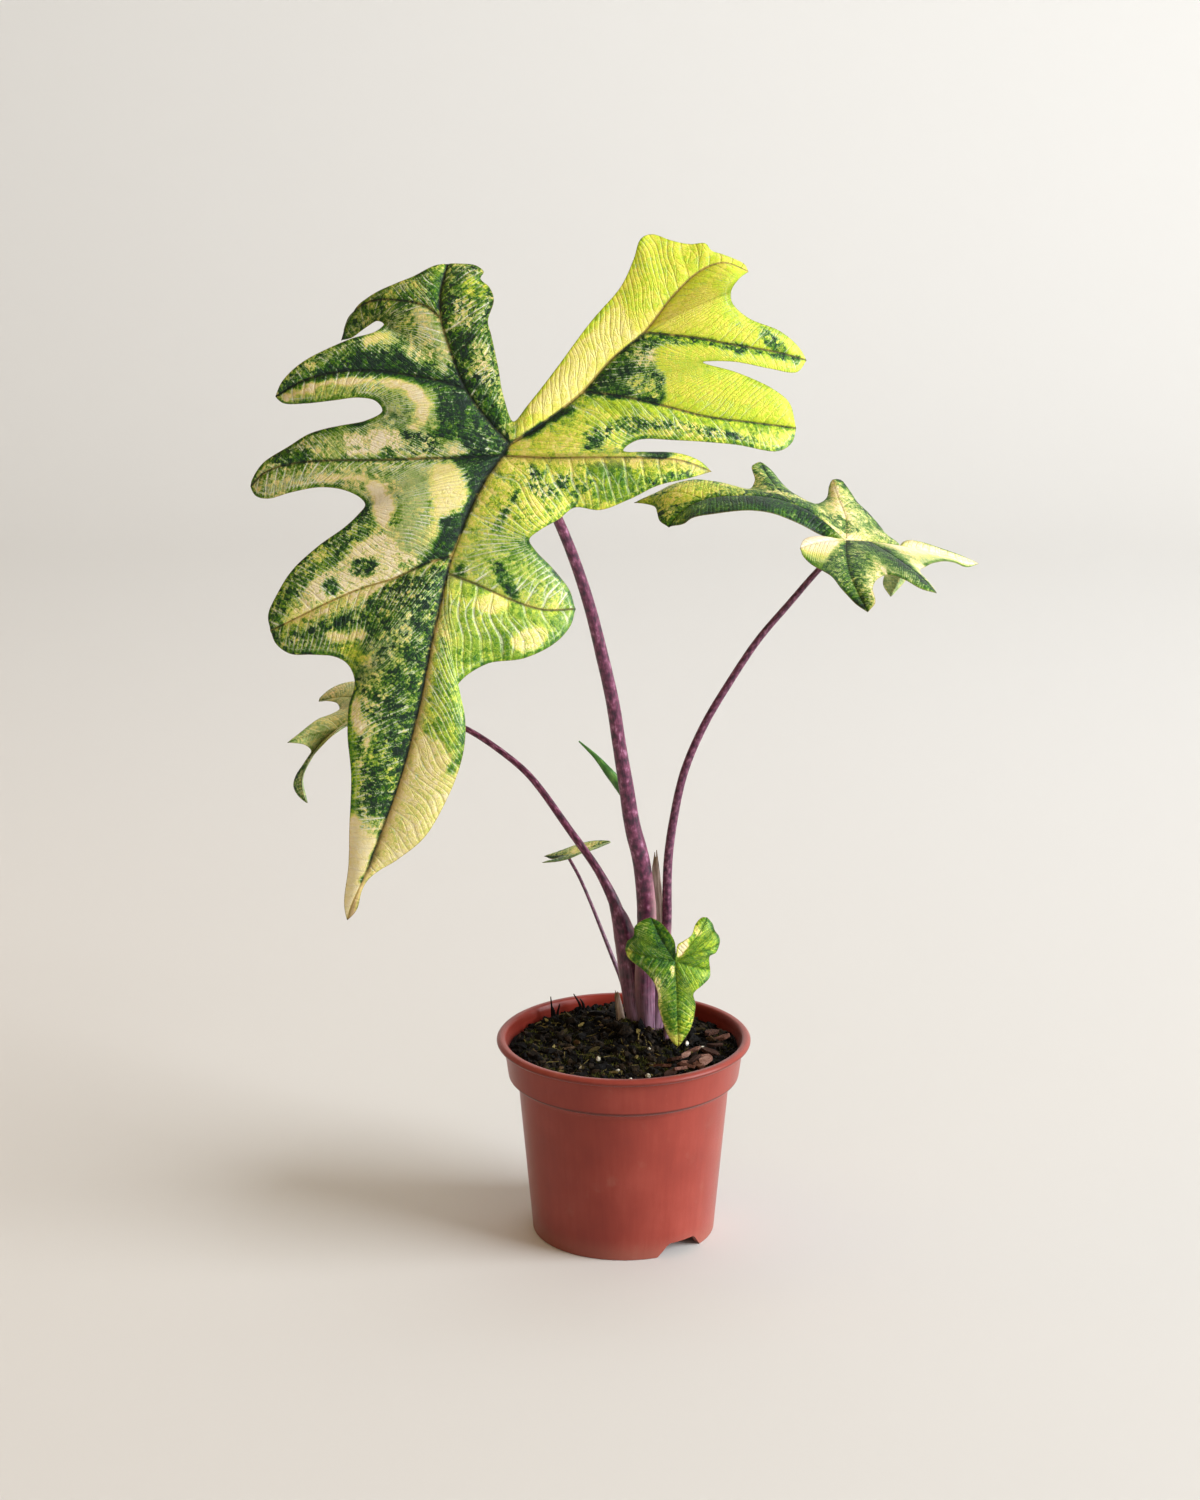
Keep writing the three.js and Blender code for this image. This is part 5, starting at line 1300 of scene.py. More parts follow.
def facing_margin(rib_line, margin_line):
    """The margin point that each rib point faces. On a short margin they crowd to the sinus."""
    run = running_length(rib_line)
    crowd = min(max(run[-1] / running_length(margin_line)[-1], 1.0), MOST_CROWDED)
    return at_share(margin_line, 1 - (1 - run / run[-1]) ** crowd)


print("big leaf rib samples:", len(grow_ribs(MAIN_LEAF, 10)[0]))

# %% Webs
# Rows of points lie close together near the rib and near the margin, where the skin bends most.
SHARES = np.concatenate([[0, 0.02, 0.045, 0.08], np.linspace(0.12, 0.9, 18), [0.94, 0.97, 0.99, 1]])
MARGIN_STEPS = 10


def web_rows(web, grown):
    """Rib keys, rib points, margin points, and the row that faces the sinus."""
    first, second, sinus, margin = web
    places, _, home, counts = grown
    up, down = home[first], home[second]
    meet = next(index for index, key in enumerate(up) if key in set(down))
    back = down.index(up[meet])
    chain = up[:meet + 1] + down[:back][::-1]
    ribs = np.array([places[key] for key in chain])
    run = running_length(ribs)
    leave = min(counts[first], meet)
    arrive = len(chain) - 1 - min(counts[second], back)
    middle = (run[leave] + run[arrive]) / 2
    turn = leave + int(np.argmin(np.abs(run[leave:arrive + 1] - middle)))
    edge = smooth_path([ribs[0].tolist(), *margin, ribs[-1].tolist()], MARGIN_STEPS)
    deepest = (sinus + 1) * MARGIN_STEPS
    going = facing_margin(ribs[:turn + 1], edge[:deepest + 1])
    coming = facing_margin(ribs[turn:][::-1], edge[deepest:][::-1])[::-1]
    return chain, ribs, np.vstack([going, coming[1:]]), turn


print("columns from rib to margin:", len(SHARES))

# %% [markdown]
# ## How the leaf gets its colour
# This plant's cells carry more or less green. Where they carry none the blade is cream, with some it is
# lime, with all of it nearly black green, and the change from one to the next follows the veins in blocks
# and sprinkles. So one number a vertex, the pigment from 0 to 1, drives the colour, a second number, the
# mottle, says how much it is broken up, and a third, the tone, bends it from warm cream and deep green
# to lime.
# Each half of a web, from its rib to the sinus, has its own pigment near the rib, in the middle and at
# the margin, as a painter's first coat. Patches with ragged edges, some with an outline of their own and
# some oval, come on top of that coat.


# %% Pigment
COAT_PLACES = [0.05, 0.5, 0.95]
# How ragged the patches are: height, size and seed of the grain that shifts their edges
RAGGED = [(1.5, 6, 21), (1.1, 2.4, 22)]
SOFT_EDGE = 2.2


def first_coat(shares, half):
    """Pigment across a half web, from its values at the rib, the middle and the margin."""
    return np.interp(shares, COAT_PLACES, half[:3])


def beyond_outline(points, outline):
    """How far each point lies outside a closed outline, in millimetres. Inside it is negative."""
    outline = np.asarray(outline, float)
    away = np.full(len(points), np.inf)
    inside = np.zeros(len(points), bool)
    for start, end in zip(outline, np.roll(outline, -1, axis=0)):
        side = end - start
        share = np.clip((points - start) @ side / (side @ side), 0, 1)
        away = np.minimum(away, np.linalg.norm(points - start - share[:, None] * side, axis=1))
        if side[1]:
            crossed = start[0] + (points[:, 1] - start[1]) * side[0] / side[1]
            level = (start[1] > points[:, 1]) != (end[1] > points[:, 1])
            inside ^= level & (points[:, 0] < crossed)
    return np.where(inside, -away, away)


def beyond_oval(points, middle, radii, angle):
    """How far each point lies outside an oval, roughly, in millimetres."""
    turn = math.radians(angle)
    x, y = (points - middle).T
    reach = np.hypot((x * math.cos(turn) + y * math.sin(turn)) / radii[0],
                     (y * math.cos(turn) - x * math.sin(turn)) / radii[1])
    return (reach - 1) * math.sqrt(radii[0] * radii[1])


def dab(points, coat, leaf):
    """Lays patches with ragged edges over the first coat, each with its own pigment, tone and mottle."""
    flat = points[:, :2]
    rough = leaf["rough_edge"]
    ragged = rough * layers_of_grain(points, RAGGED)
    patches = [(*values, beyond_outline(flat, outline)) for *values, outline in leaf["outlines"]]
    patches += [(*values, beyond_oval(flat, middle, radii, angle))
                for *values, middle, radii, angle in leaf["ovals"]]
    for pigment, tone, mottle, beyond in patches:
        cover = np.clip(0.5 - (beyond + ragged) / (SOFT_EDGE * rough), 0, 1)
        cover = cover * cover * (3 - 2 * cover)
        for name, value in (("pigment", pigment), ("tone", tone), ("mottle", mottle)):
            coat[name] += (value - coat[name]) * cover
    return coat


print("places of a half web's three pigment values:", COAT_PLACES)


# %% Distances on the blade
def nearest(targets, points):
    """For each point, the distance to the nearest target and that target's number."""
    tree = kdtree.KDTree(len(targets))
    for index, target in enumerate(targets):
        tree.insert(target, index)
    tree.balance()
    found = [tree.find(point) for point in points]
    return np.array([hit[2] for hit in found]), np.array([hit[1] for hit in found])


def densely(line, values, parts=6):
    """Fills in a line and the values along it, so that distances to it are smooth."""
    place = np.arange((len(line) - 1) * parts + 1) / parts
    known = np.arange(len(line))
    filled = np.stack([np.interp(place, known, line[:, axis]) for axis in range(3)], 1)
    return filled, np.interp(place, known, values)


print("distance helpers ready")

# %% Points and faces of a web
# A web's rise as a share of its width, how wide the tan blush is, how fast one half web's colours
# become the other's at the sinus, and how the side veins sway: height, size and seed.
DOME = 0.06
BLUSH_MM = 3.4
BLEND_SHARE = 0.12
VEIN_SWAY = [(2.6, 11, 41)]


def lay_points(sheet, rows, halves, width, run):
    """Adds a web's points with their numbers. Those on a rib are shared with the web beside it."""
    chain, ribs, edge, turn = rows
    known, coat = sheet["known"], sheet["coat"]
    blend = np.clip((np.arange(len(chain)) - turn) / (BLEND_SHARE * len(chain)) + 0.5, 0, 1)
    grid = np.zeros((len(chain), len(SHARES)), int)
    for row, key in enumerate(chain):
        half = [(1 - blend[row]) * a + blend[row] * b for a, b in zip(*halves)]
        pigment = first_coat(SHARES, half)
        for column, share in enumerate(SHARES):
            shared = column == 0 or row in (0, len(chain) - 1)
            if shared and key in known:
                grid[row, column] = known[key]
                continue
            point = ribs[row] + share * (edge[row] - ribs[row])
            point = point + [0, 0, DOME * width[row] * 4 * share * (1 - share)]
            blush = half[5] * math.exp(-(share * width[row] / BLUSH_MM) ** 2)
            numbers = (pigment[column], half[3], half[4], blush, 0.0 if shared else share, run[row])
            for name, value in zip(coat, numbers):
                coat[name].append(value)
            grid[row, column] = len(sheet["points"])
            sheet["points"].append(ribs[row] if shared else point)
            if shared:
                known[key] = grid[row, column]
    return grid


def lay_faces(sheet, grid, width, run):
    """Adds a web's faces, and at each corner how far it lies along the rib and out from it."""
    sway = layers_of_grain(np.array(sheet["points"])[grid.ravel()], VEIN_SWAY).reshape(grid.shape)
    for row in range(len(grid) - 1):
        for column in range(len(SHARES) - 1):
            kept = []
            for corner in ((row, column), (row, column + 1), (row + 1, column + 1), (row + 1, column)):
                if not kept or grid[corner] != grid[kept[-1]]:
                    kept.append(corner)
            if grid[kept[0]] == grid[kept[-1]]:
                kept.pop()
            sheet["faces"].append([grid[corner] for corner in kept])
            sheet["maps"].append([(run[r] + sway[r, c], SHARES[c] * width[r]) for r, c in kept])
        sheet["rim"].append((grid[row, -1], grid[row + 1, -1]))


print("web helpers ready")


# %% Middle surface of a blade
def middle_surface(leaf, fine):
    """The blade's middle surface, with the numbers that the finish needs at each vertex."""
    grown = grow_ribs(leaf, fine)
    coat = {name: [] for name in ("pigment", "tone", "mottle", "blush", "share", "veins")}
    sheet = {"points": [], "faces": [], "maps": [], "rim": [], "known": {}, "coat": coat}
    rib_lines, margin_lines = [], []
    for web, halves, closeness in zip(leaf["webs"], leaf["coats"], leaf["closeness"]):
        rows = web_rows(web, grown)
        chain, ribs, edge, _ = rows
        width = np.linalg.norm(edge - ribs, axis=1)
        run = running_length(ribs) * closeness
        grid = lay_points(sheet, rows, halves, width, run)
        lay_faces(sheet, grid, width, run)
        rib_lines.append(densely(ribs, [grown[1][key] for key in chain]))
        margin_lines.append(densely(edge, np.zeros(len(edge)))[0])
    points = np.array(sheet["points"])
    coat = {name: np.array(values, float) for name, values in coat.items()}
    coat["rib_mm"], rib_index = nearest(np.vstack([line for line, _ in rib_lines]), points)
    coat["rib_width"] = np.concatenate([values for _, values in rib_lines])[rib_index]
    coat["edge_mm"] = nearest(np.vstack(margin_lines), points)[0]
    coat["veins"] += layers_of_grain(points, VEIN_SWAY)
    return points, sheet["faces"], sheet["maps"], sheet["rim"], dab(points, coat, leaf)


print("blade helper ready")


# %% Two skins and a rim
BLADE_MM = 0.55
GROOVE_MM = 0.22
KEEL_SHARE = 0.75
UNDER_SHARE = 0.8
WAVES = [(0.7, 21, 31), (0.3, 8, 32)]


def vertex_normals(points, faces):
    """The way the surface faces at each point."""
    normals = np.zeros_like(points)
    triangles = np.array([(f[0], f[i], f[i + 1]) for f in faces for i in range(1, len(f) - 1)])
    a, b, c = (points[triangles[:, i]] for i in range(3))
    cross = np.cross(b - a, c - a)
    for corner in range(3):
        np.add.at(normals, triangles[:, corner], cross)
    return normals / np.maximum(np.linalg.norm(normals, axis=1), 1e-12)[:, None]


def blade(name, leaf, place, tilt, fine, finish):
    """A blade with a puckered upper skin, a lower skin with keeled ribs, and a closed rim."""
    points, faces, maps, rim, coat = middle_surface(leaf, fine)
    normals = vertex_normals(points, faces)
    rib, edge, rib_width = coat["rib_mm"], coat["edge_mm"], coat["rib_width"]
    wave = layers_of_grain(points, WAVES)[:, None]
    middle = points + normals * wave * coat["share"][:, None] ** 1.5
    pucker = np.abs(np.sin(math.pi * coat["veins"] / leaf["vein_gap"])) ** 0.7
    pucker = pucker * np.clip(rib / 3, 0, 1) * np.clip((edge - 1.5) / 3, 0, 1)
    groove = np.exp(-(rib / (0.6 + 0.5 * rib_width)) ** 2)
    thin = BLADE_MM * (0.55 + 0.45 * np.clip(edge / 1.2, 0, 1))
    lift = thin / 2 + leaf["pucker"] * (pucker - 0.5) - GROOVE_MM * groove
    keel = KEEL_SHARE * rib_width * np.exp(-(rib / (0.35 + 0.55 * rib_width)) ** 2)
    drop = thin / 2 + keel - UNDER_SHARE * leaf["pucker"] * (pucker - 0.5)
    upper = middle + normals * lift[:, None]
    lower = middle - normals * drop[:, None]
    count = len(points)
    both = [*faces, *[[i + count for i in face[::-1]] for face in faces]]
    mapped = [*maps, *[corners[::-1] for corners in maps]]
    for a, b in rim:
        if a != b:
            both.append([a, a + count, b + count, b])
            mapped.append([(0.0, 0.0)] * 4)
    made = add_mesh(name, np.vstack([upper, lower]), both, finish)
    give_map(made, "vein_map", np.array([corner for face in mapped for corner in face], np.float32))
    for title in ("pigment", "tone", "mottle", "blush", "edge_mm"):
        give_numbers(made, title, np.tile(coat[title], 2))
    give_numbers(made, "rib_line", np.tile(rib / (0.25 + 0.42 * rib_width), 2))
    give_numbers(made, "underside", np.repeat([0.0, 1.0], count))
    made.data.transform(Matrix.Translation(Vector(place) * MM) @ Matrix.Rotation(math.radians(tilt), 4, "X"))
    count_line(made)
    return made


print("blade skins ready")

# %% [markdown]
# ## Leaf skin
# Close up, a blade shows side veins every few millimetres, paler than the skin between them, a fine net,
# one vein that follows the margin, a green or cream rim, and ribs that lie in a groove.
# The side veins are lines of equal distance along the rib, read from the map called vein_map. The pigment
# number, broken up by cloudy noise and by cells stretched along the veins, runs through two colour ramps,
# a warm one and a lime one.

# %% Pigment colours
WARM = [(0.0, "#f4e6c4"), (0.16, "#f0de9e"), (0.3, "#d5d074"), (0.44, "#a2b56e"), (0.58, "#688c14"),
        (0.72, "#346a0a"), (0.86, "#1e4712"), (1.0, "#0f281c")]
LIME = [(0.0, "#f0e478"), (0.18, "#e2dd4c"), (0.34, "#c2d72c"), (0.5, "#90b01e"), (0.64, "#5b8c17"),
        (0.78, "#306713"), (0.9, "#1a451a"), (1.0, "#102c1e")]
VEINS_SEEN = [(0.0, "#404040"), (0.25, "#808080"), (0.42, "#ffffff"), (0.62, "#c8c8c8"), (0.8, "#383838"),
              (1.0, "#101010")]
RIB_TINTS = [(0.2, "#b0964c"), (0.5, "#696b36"), (0.75, "#1a2720")]
print("steps from cream to black green:", len(WARM))


# %% Broken colour and veins
def broken_colour(made, place):
    """What breaks the pigment up: clouds, ragged cells in three sizes, and flecks that come in clusters."""
    stir = made.node("TexNoise", {"Vector": place, "Scale": 620.0, "Detail": 2.0}).outputs["Color"]
    stirred = made.vectors("ADD", place, made.vectors("MULTIPLY", stir, (0.0022, 0.0022, 0.0022))[0])[0]

    def cells(scale):
        return made.parts(made.node("TexVoronoi", {"Vector": stirred, "Scale": scale}).outputs["Color"])[0]

    broken = made.times_plus(made.noise(place, 120.0, 3.0), 1.5, made.less(cells(430.0), 0.5))
    for scale, share in ((1000.0, 0.9), (1900.0, 0.6)):
        broken = made.times_plus(made.less(cells(scale), 0.5), share, broken)
    cluster = made.step(made.noise(place, 75.0), -0.06, 0.12)
    flecks = made.times(made.step(cells(780.0), 0.7, 0.78), cluster)
    return made.times_plus(flecks, -0.85, broken)


def side_veins(made, mapped, gap):
    """Side veins, the forks that they send out, and low ridges between them, from the map's two axes."""
    axes = made.parts(mapped)
    along, out = made.times(axes[0], MAP_UNIT_MM), made.times(axes[1], MAP_UNIT_MM)
    off = made.math("PINGPONG", along, gap / 2)
    fork = made.math("MINIMUM", made.times(made.less(out, 4.0), 0.3), gap / 2)
    away = made.math("ABSOLUTE", made.less(off, fork))
    forks = made.times(made.line(away, 0.14, 0.3), made.step(out, 5.0, 8.0))
    ridges = made.math("PINGPONG", along, gap / 4)
    return made.line(off, 0.2, 0.35), forks, made.step(ridges, 0.0, gap / 4, -0.5, 0.5)


print("vein helpers ready")

# %% Leaf finish
MAIN_VEIN_GAP = 5.2
SMALL_VEIN_GAP = 3.8


def leaf_finish(name, vein_gap, pale, vein_strength=1.0, rib_and_shade_strength=0.9):
    """Leaf skin, coloured by the numbers that its mesh holds. Pale is the tint of its side veins."""
    made = Finish(name, Specular_IOR_Level=0.32, Subsurface_Weight=0.06, Subsurface_Scale=0.0015)
    place = made.object_place()
    mapped = made.node("UVMap", {}, uv_map="vein_map").outputs[0]
    specks = made.noise(place, 900.0)
    patchy = made.step(made.noise(place, 85.0), -0.14, 0.1, 0.15, 1.0)
    names = ("edge_mm", "pigment", "tone", "rib_line", "underside", "blush", "mottle")
    edge, coat, tone, rib_line, underside, blush, mottle = map(made.number, names)
    veins, forks, ridges = side_veins(made, mapped, vein_gap)

    # Pigment: the coat, broken up, greener at the rim and along the ridges
    green_parts = made.step(coat, 0.22, 0.45)
    rim = made.times(made.step(edge, 0.9, 2.1, 0.2, 0.0), made.times(green_parts, patchy))
    pigment = made.math("ADD", made.times_plus(broken_colour(made, place), mottle, coat), rim)
    pigment = made.times_plus(ridges, made.times(green_parts, 0.08), pigment)
    base = made.mix(tone, made.ramp(pigment, WARM), made.ramp(pigment, LIME))

    # Pale veins, which show most on the middle greens
    reach = made.times(made.step(edge, 0.6, 2.4), made.step(rib_line, 0.8, 1.8))
    shown = made.times(made.times(reach, made.ramp(pigment, VEINS_SEEN)), patchy)
    shown = made.times(shown, made.step(tone, 0.4, 1.0, 1.0, 0.4))
    net = made.node("TexVoronoi", {"Vector": place, "Scale": 420.0}, feature="DISTANCE_TO_EDGE").outputs[0]
    net = made.times(made.line(net, 0.02, 0.06), reach)
    follow = made.line(made.math("ABSOLUTE", made.less(edge, 2.4)), 0.08, 0.3)
    light = veins
    for lines, share in ((forks, 0.75), (net, 0.3), (follow, 0.6)):
        light = made.math("MAXIMUM", light, made.times(lines, share))
    base = made.mix(made.times(made.times(light, shown), vein_strength), base, pale)

    # Tan blush, thin dark edge, ribs with a dark line of painted shade beside them, and the paler underside
    rib = made.line(rib_line, 0.65, 0.5)
    rib_side_shade = made.times(made.step(rib_line, 1.0, 3.0, 0.45 * rib_and_shade_strength, 0.0), green_parts)
    for amount, tint in (
            (made.times(blush, 0.8), "#bb9a62"), (made.times(made.line(edge, 0.12, 0.3), 0.6), "#7a6f3e"),
            (made.times(rib, rib_and_shade_strength), made.ramp(pigment, RIB_TINTS)), (rib_side_shade, "#16251e"),
            (made.times(underside, 0.45), "#a9b98a")):
        base = made.mix(amount, base, tint)

    rough = made.times_plus(underside, 0.2, made.times_plus(specks, 0.25, 0.46))
    relief = made.times_plus(net, -0.3, made.times(veins, -0.55))
    for lines, share in ((forks, -0.4), (ridges, made.times(patchy, 0.18)), (specks, 0.5), (rib, -0.7)):
        relief = made.times_plus(lines, share, relief)
    return made.surface(base, rough, relief, 0.35)


main_skin = leaf_finish("main_leaf_skin", MAIN_VEIN_GAP, "#f1f2e2")
small_skin = leaf_finish("small_leaf_skin", SMALL_VEIN_GAP, "#e3e6c4", 0.35, 0.2)
print("leaf finishes: main_leaf_skin, small_leaf_skin")

# %% [markdown]
# ## Painting the big leaf
# Seen from the front, the lobes on its left are dark green with cream stripes below their ribs, and those
# on its right are yellow and lime with a few dark blocks. The lowest lobe is split by the midrib into a
# dark, finely sprinkled half and a pale half with a tan edge along the rib.
# The first coat below goes web by web, in the order of the webs. The patches after it were given one by one,
# in whole millimetres on the leaf.

# %% First coat of the big leaf
# Each half web: pigment at the rib, middle and margin, then tone, mottle and the tan blush at the rib.
MAIN_LEAF["vein_gap"] = MAIN_VEIN_GAP
MAIN_LEAF["closeness"] = [1, 1, 1, 1, 1, 0.7, 0.65, 0.8, 1, 1, 1]
MAIN_LEAF["pucker"] = 0.34
MAIN_LEAF["rough_edge"] = 1.0
MAIN_LEAF["coats"] = [
    [(0.78, 0.66, 0.62, 0.6, 0.3, 0), (0.72, 0.6, 0.52, 0.5, 0.32, 0)],
    [(0.68, 0.62, 0.56, 0.4, 0.38, 0), (0.88, 0.74, 0.58, 0.3, 0.38, 0)],
    [(0.86, 0.44, 0.58, 0.5, 0.22, 0), (0.54, 0.46, 0.6, 0.2, 0.26, 0)],
    [(0.64, 0.44, 0.44, 0.1, 0.3, 0), (0.2, 0.54, 0.68, 0.5, 0.42, 0)],
    [(0.22, 0.74, 0.62, 0.5, 0.36, 0), (0.86, 0.7, 0.6, 0.4, 0.46, 0)],
    [(0.32, 0.32, 0.42, 0.5, 0.24, 1), (0.46, 0.52, 0.6, 0.8, 0.16, 0)],
    [(0.35, 0.5, 0.62, 0.6, 0.18, 0), (0.34, 0.34, 0.4, 0.9, 0.34, 0.6)],
    [(0.26, 0.22, 0.32, 0.9, 0.26, 0), (0.48, 0.34, 0.44, 0.9, 0.26, 0)],
    [(0.34, 0.26, 0.32, 1, 0.1, 0), (0.44, 0.26, 0.3, 1, 0.14, 0)],
    [(0.3, 0.25, 0.33, 1, 0.12, 0), (0.28, 0.26, 0.34, 1, 0.1, 0)],
    [(0.14, 0.25, 0.36, 1, 0.12, 0), (0.9, 0.72, 0.6, 0.3, 0.42, 0)],
]
print("half webs painted:", 2 * len(MAIN_LEAF["coats"]))

# %% Patches of the big leaf's left side
# Each patch: pigment, tone and mottle, then its outline, across and along.
LEFT_OUTLINES = [
    (0.92, 0.1, 0.32, [(-20, -6), (-3, -5), (2, 0), (-2, 6), (-6, 16), (-14, 27), (-24, 30), (-33, 24),
        (-31, 12), (-33, 3), (-24, -1)]),
    (0.42, 0, 0.15, [(-43, 60), (-33, 59), (-28, 48), (-25, 37), (-30, 29), (-33, 40), (-39, 50)]),
    (0.93, 0.2, 0.3, [(-90, 25), (-86, 30), (-72, 38), (-59, 41), (-43, 39), (-33, 31), (-34, 27),
        (-45, 30), (-60, 31), (-79, 29)]),
    (0.08, 0.1, 0.14, [(-98, 22), (-78, 28), (-61, 29), (-47, 27), (-38, 23), (-33, 17), (-36, 8), (-44, 4),
        (-40, 10), (-40, 17), (-47, 23), (-61, 26), (-78, 26), (-97, 20)]),
    (0.8, 0.1, 0.55, [(-47, 5), (-33, 5), (-29, 0), (-31, -5), (-46, -5)]),
    (0.35, 0, 0.2, [(-31, -4), (-24, 3), (-18, -2), (-19, -5)]),
    (0.18, 0, 0.5, [(-70, 4), (-48, 5), (-46, -5), (-70, -4)]),
    (0.12, 0.1, 0.14, [(-83, -13), (-64, -13), (-56, -18), (-65, -17), (-83, -16)]),
    (0.64, 0.3, 0.3, [(-49, -22), (-46, -25), (-46, -34), (-51, -40), (-53, -37), (-50, -32)]),
    (0.04, 0, 0.06, [(-65, -17), (-56, -18), (-50, -23), (-51, -33), (-53, -37), (-58, -33), (-58, -24)]),
    (0.43, 0, 0.12, [(-50, -12), (-34, -9), (-34, -46), (-45, -52), (-54, -40), (-47, -34), (-46, -22)]),
    (0.12, 0.4, 0.08, [(-34, -8), (-24, -8), (-19, -14), (-17, -20), (-20, -26), (-29, -31), (-31, -46),
        (-34, -46)]),
    (0.95, 0, 0.24, [(-20, -5), (-3, -4), (-10, -15), (-16, -28), (-21, -38), (-27, -49), (-45, -55),
        (-33, -46), (-30, -32), (-20, -29), (-17, -21), (-19, -13), (-24, -8)]),
    (0.16, 0.1, 0.46, [(-90, -68), (-87, -61), (-74, -52), (-66, -44), (-54, -40), (-45, -47), (-39, -51),
        (-46, -56), (-58, -61), (-74, -67), (-88, -72)]),
    (0.14, 0.1, 0.3, [(-90, -77), (-83, -72), (-72, -67), (-58, -61), (-49, -58), (-54, -62), (-62, -66),
        (-73, -71), (-83, -75)]),
    (0.82, 0.4, 0.44, [(-51, -60), (-30, -53), (-27, -58), (-34, -66), (-45, -72), (-60, -76), (-75, -81),
        (-85, -82), (-86, -78), (-74, -73), (-62, -68)]),
    (0.68, 0.7, 0.2, [(-103, -74), (-98, -89), (-84, -92), (-71, -93), (-66, -100), (-64, -97), (-70, -89),
        (-82, -88), (-95, -86), (-100, -73)]),
    (0.66, 0.6, 0.42, [(-62, -24), (-70, -34), (-84, -44), (-98, -56), (-106, -72), (-98, -74), (-90, -62),
        (-76, -50), (-64, -40)]),
    (0.81, 0.4, 0.44, [(-28, -56), (-37, -60), (-43, -80), (-50, -100), (-54, -120), (-60, -138),
        (-63, -154), (-56, -158), (-50, -145), (-42, -122), (-38, -104), (-33, -84)]),
    (0.6, 1, 0.22, [(-72, -94), (-65, -104), (-66, -125), (-65, -143), (-67, -162), (-72, -164),
        (-74, -140), (-74, -110)]),
    (0.1, 0.1, 0.08, [(-67, -160), (-62, -165), (-58, -169), (-59, -175), (-63, -183), (-65, -193),
        (-69, -206), (-74, -206), (-73, -188), (-72, -176), (-71, -165)]),
]
print("outlined patches on the left:", len(LEFT_OUTLINES))

# %% Patches of the big leaf's right side
RIGHT_OUTLINES = [
    (0.66, 0.4, 0.25, [(-61, -183), (-59, -178), (-55, -169), (-53, -169), (-57, -179), (-60, -185)]),
    (0.5, 0.8, 0.22, [(-30, -84), (-14, -96), (-18, -104), (-18, -128), (-26, -134), (-38, -128),
        (-35, -108)]),
    (0.2, 0.3, 0.2, [(-37, -126), (-28, -130), (-20, -143), (-27, -160), (-38, -173), (-50, -182),
        (-60, -187), (-55, -171), (-48, -151), (-42, -134)]),
    (0.64, 0.7, 0.22, [(-21, -114), (-20, -128), (-24, -143), (-27, -142), (-23, -128), (-24, -115)]),
    (0.76, 0.4, 0.42, [(6, -20), (2, -20), (-6, -32), (-10, -40), (-6, -38), (1, -29)]),
    (0.62, 0.8, 0.38, [(50, -21), (54, -15), (75, -11), (79, -13), (62, -17), (55, -22)]),
    (0.66, 0.7, 0.5, [(31, 4), (43, 10), (55, 11), (79, 9), (95, 5), (110, 1), (95, 3), (75, 6), (55, 6),
        (43, 3), (40, -4), (31, -4)]),
    (0.44, 1, 0.14, [(35, 19), (47, 19), (66, 15), (85, 11), (104, 8), (104, 6), (85, 8), (66, 11),
        (50, 13), (40, 12)]),
    # Painted shadow: a near-black strip beside the right_back rib, next to the heart
    (0.96, 0, 0.2, [(3, 1), (11, 3), (20, 9), (27, 15), (25, 17), (14, 10), (5, 5)]),
    (0.9, 0.2, 0.34, [(32, 21), (45, 37), (54, 45), (58, 47), (70, 46), (64, 43), (61, 38), (62, 32),
        (68, 28), (68, 22), (66, 17), (54, 19), (40, 20)]),
    (0.66, 0.9, 0.46, [(58, 47), (79, 46), (95, 43), (112, 41), (125, 39), (124, 36), (112, 38), (91, 40),
        (82, 43), (66, 43)]),
    (0.28, 1, 0.14, [(42, 62), (58, 54), (70, 62), (82, 75), (104, 76), (103, 81), (62, 95), (50, 76)]),
    (0.1, 0.8, 0.16, [(8, 14), (18, 12), (30, 22), (44, 37), (55, 47), (48, 60), (30, 44)]),
]
MAIN_LEAF["outlines"] = LEFT_OUTLINES + RIGHT_OUTLINES
print("outlined patches on the right:", len(RIGHT_OUTLINES))

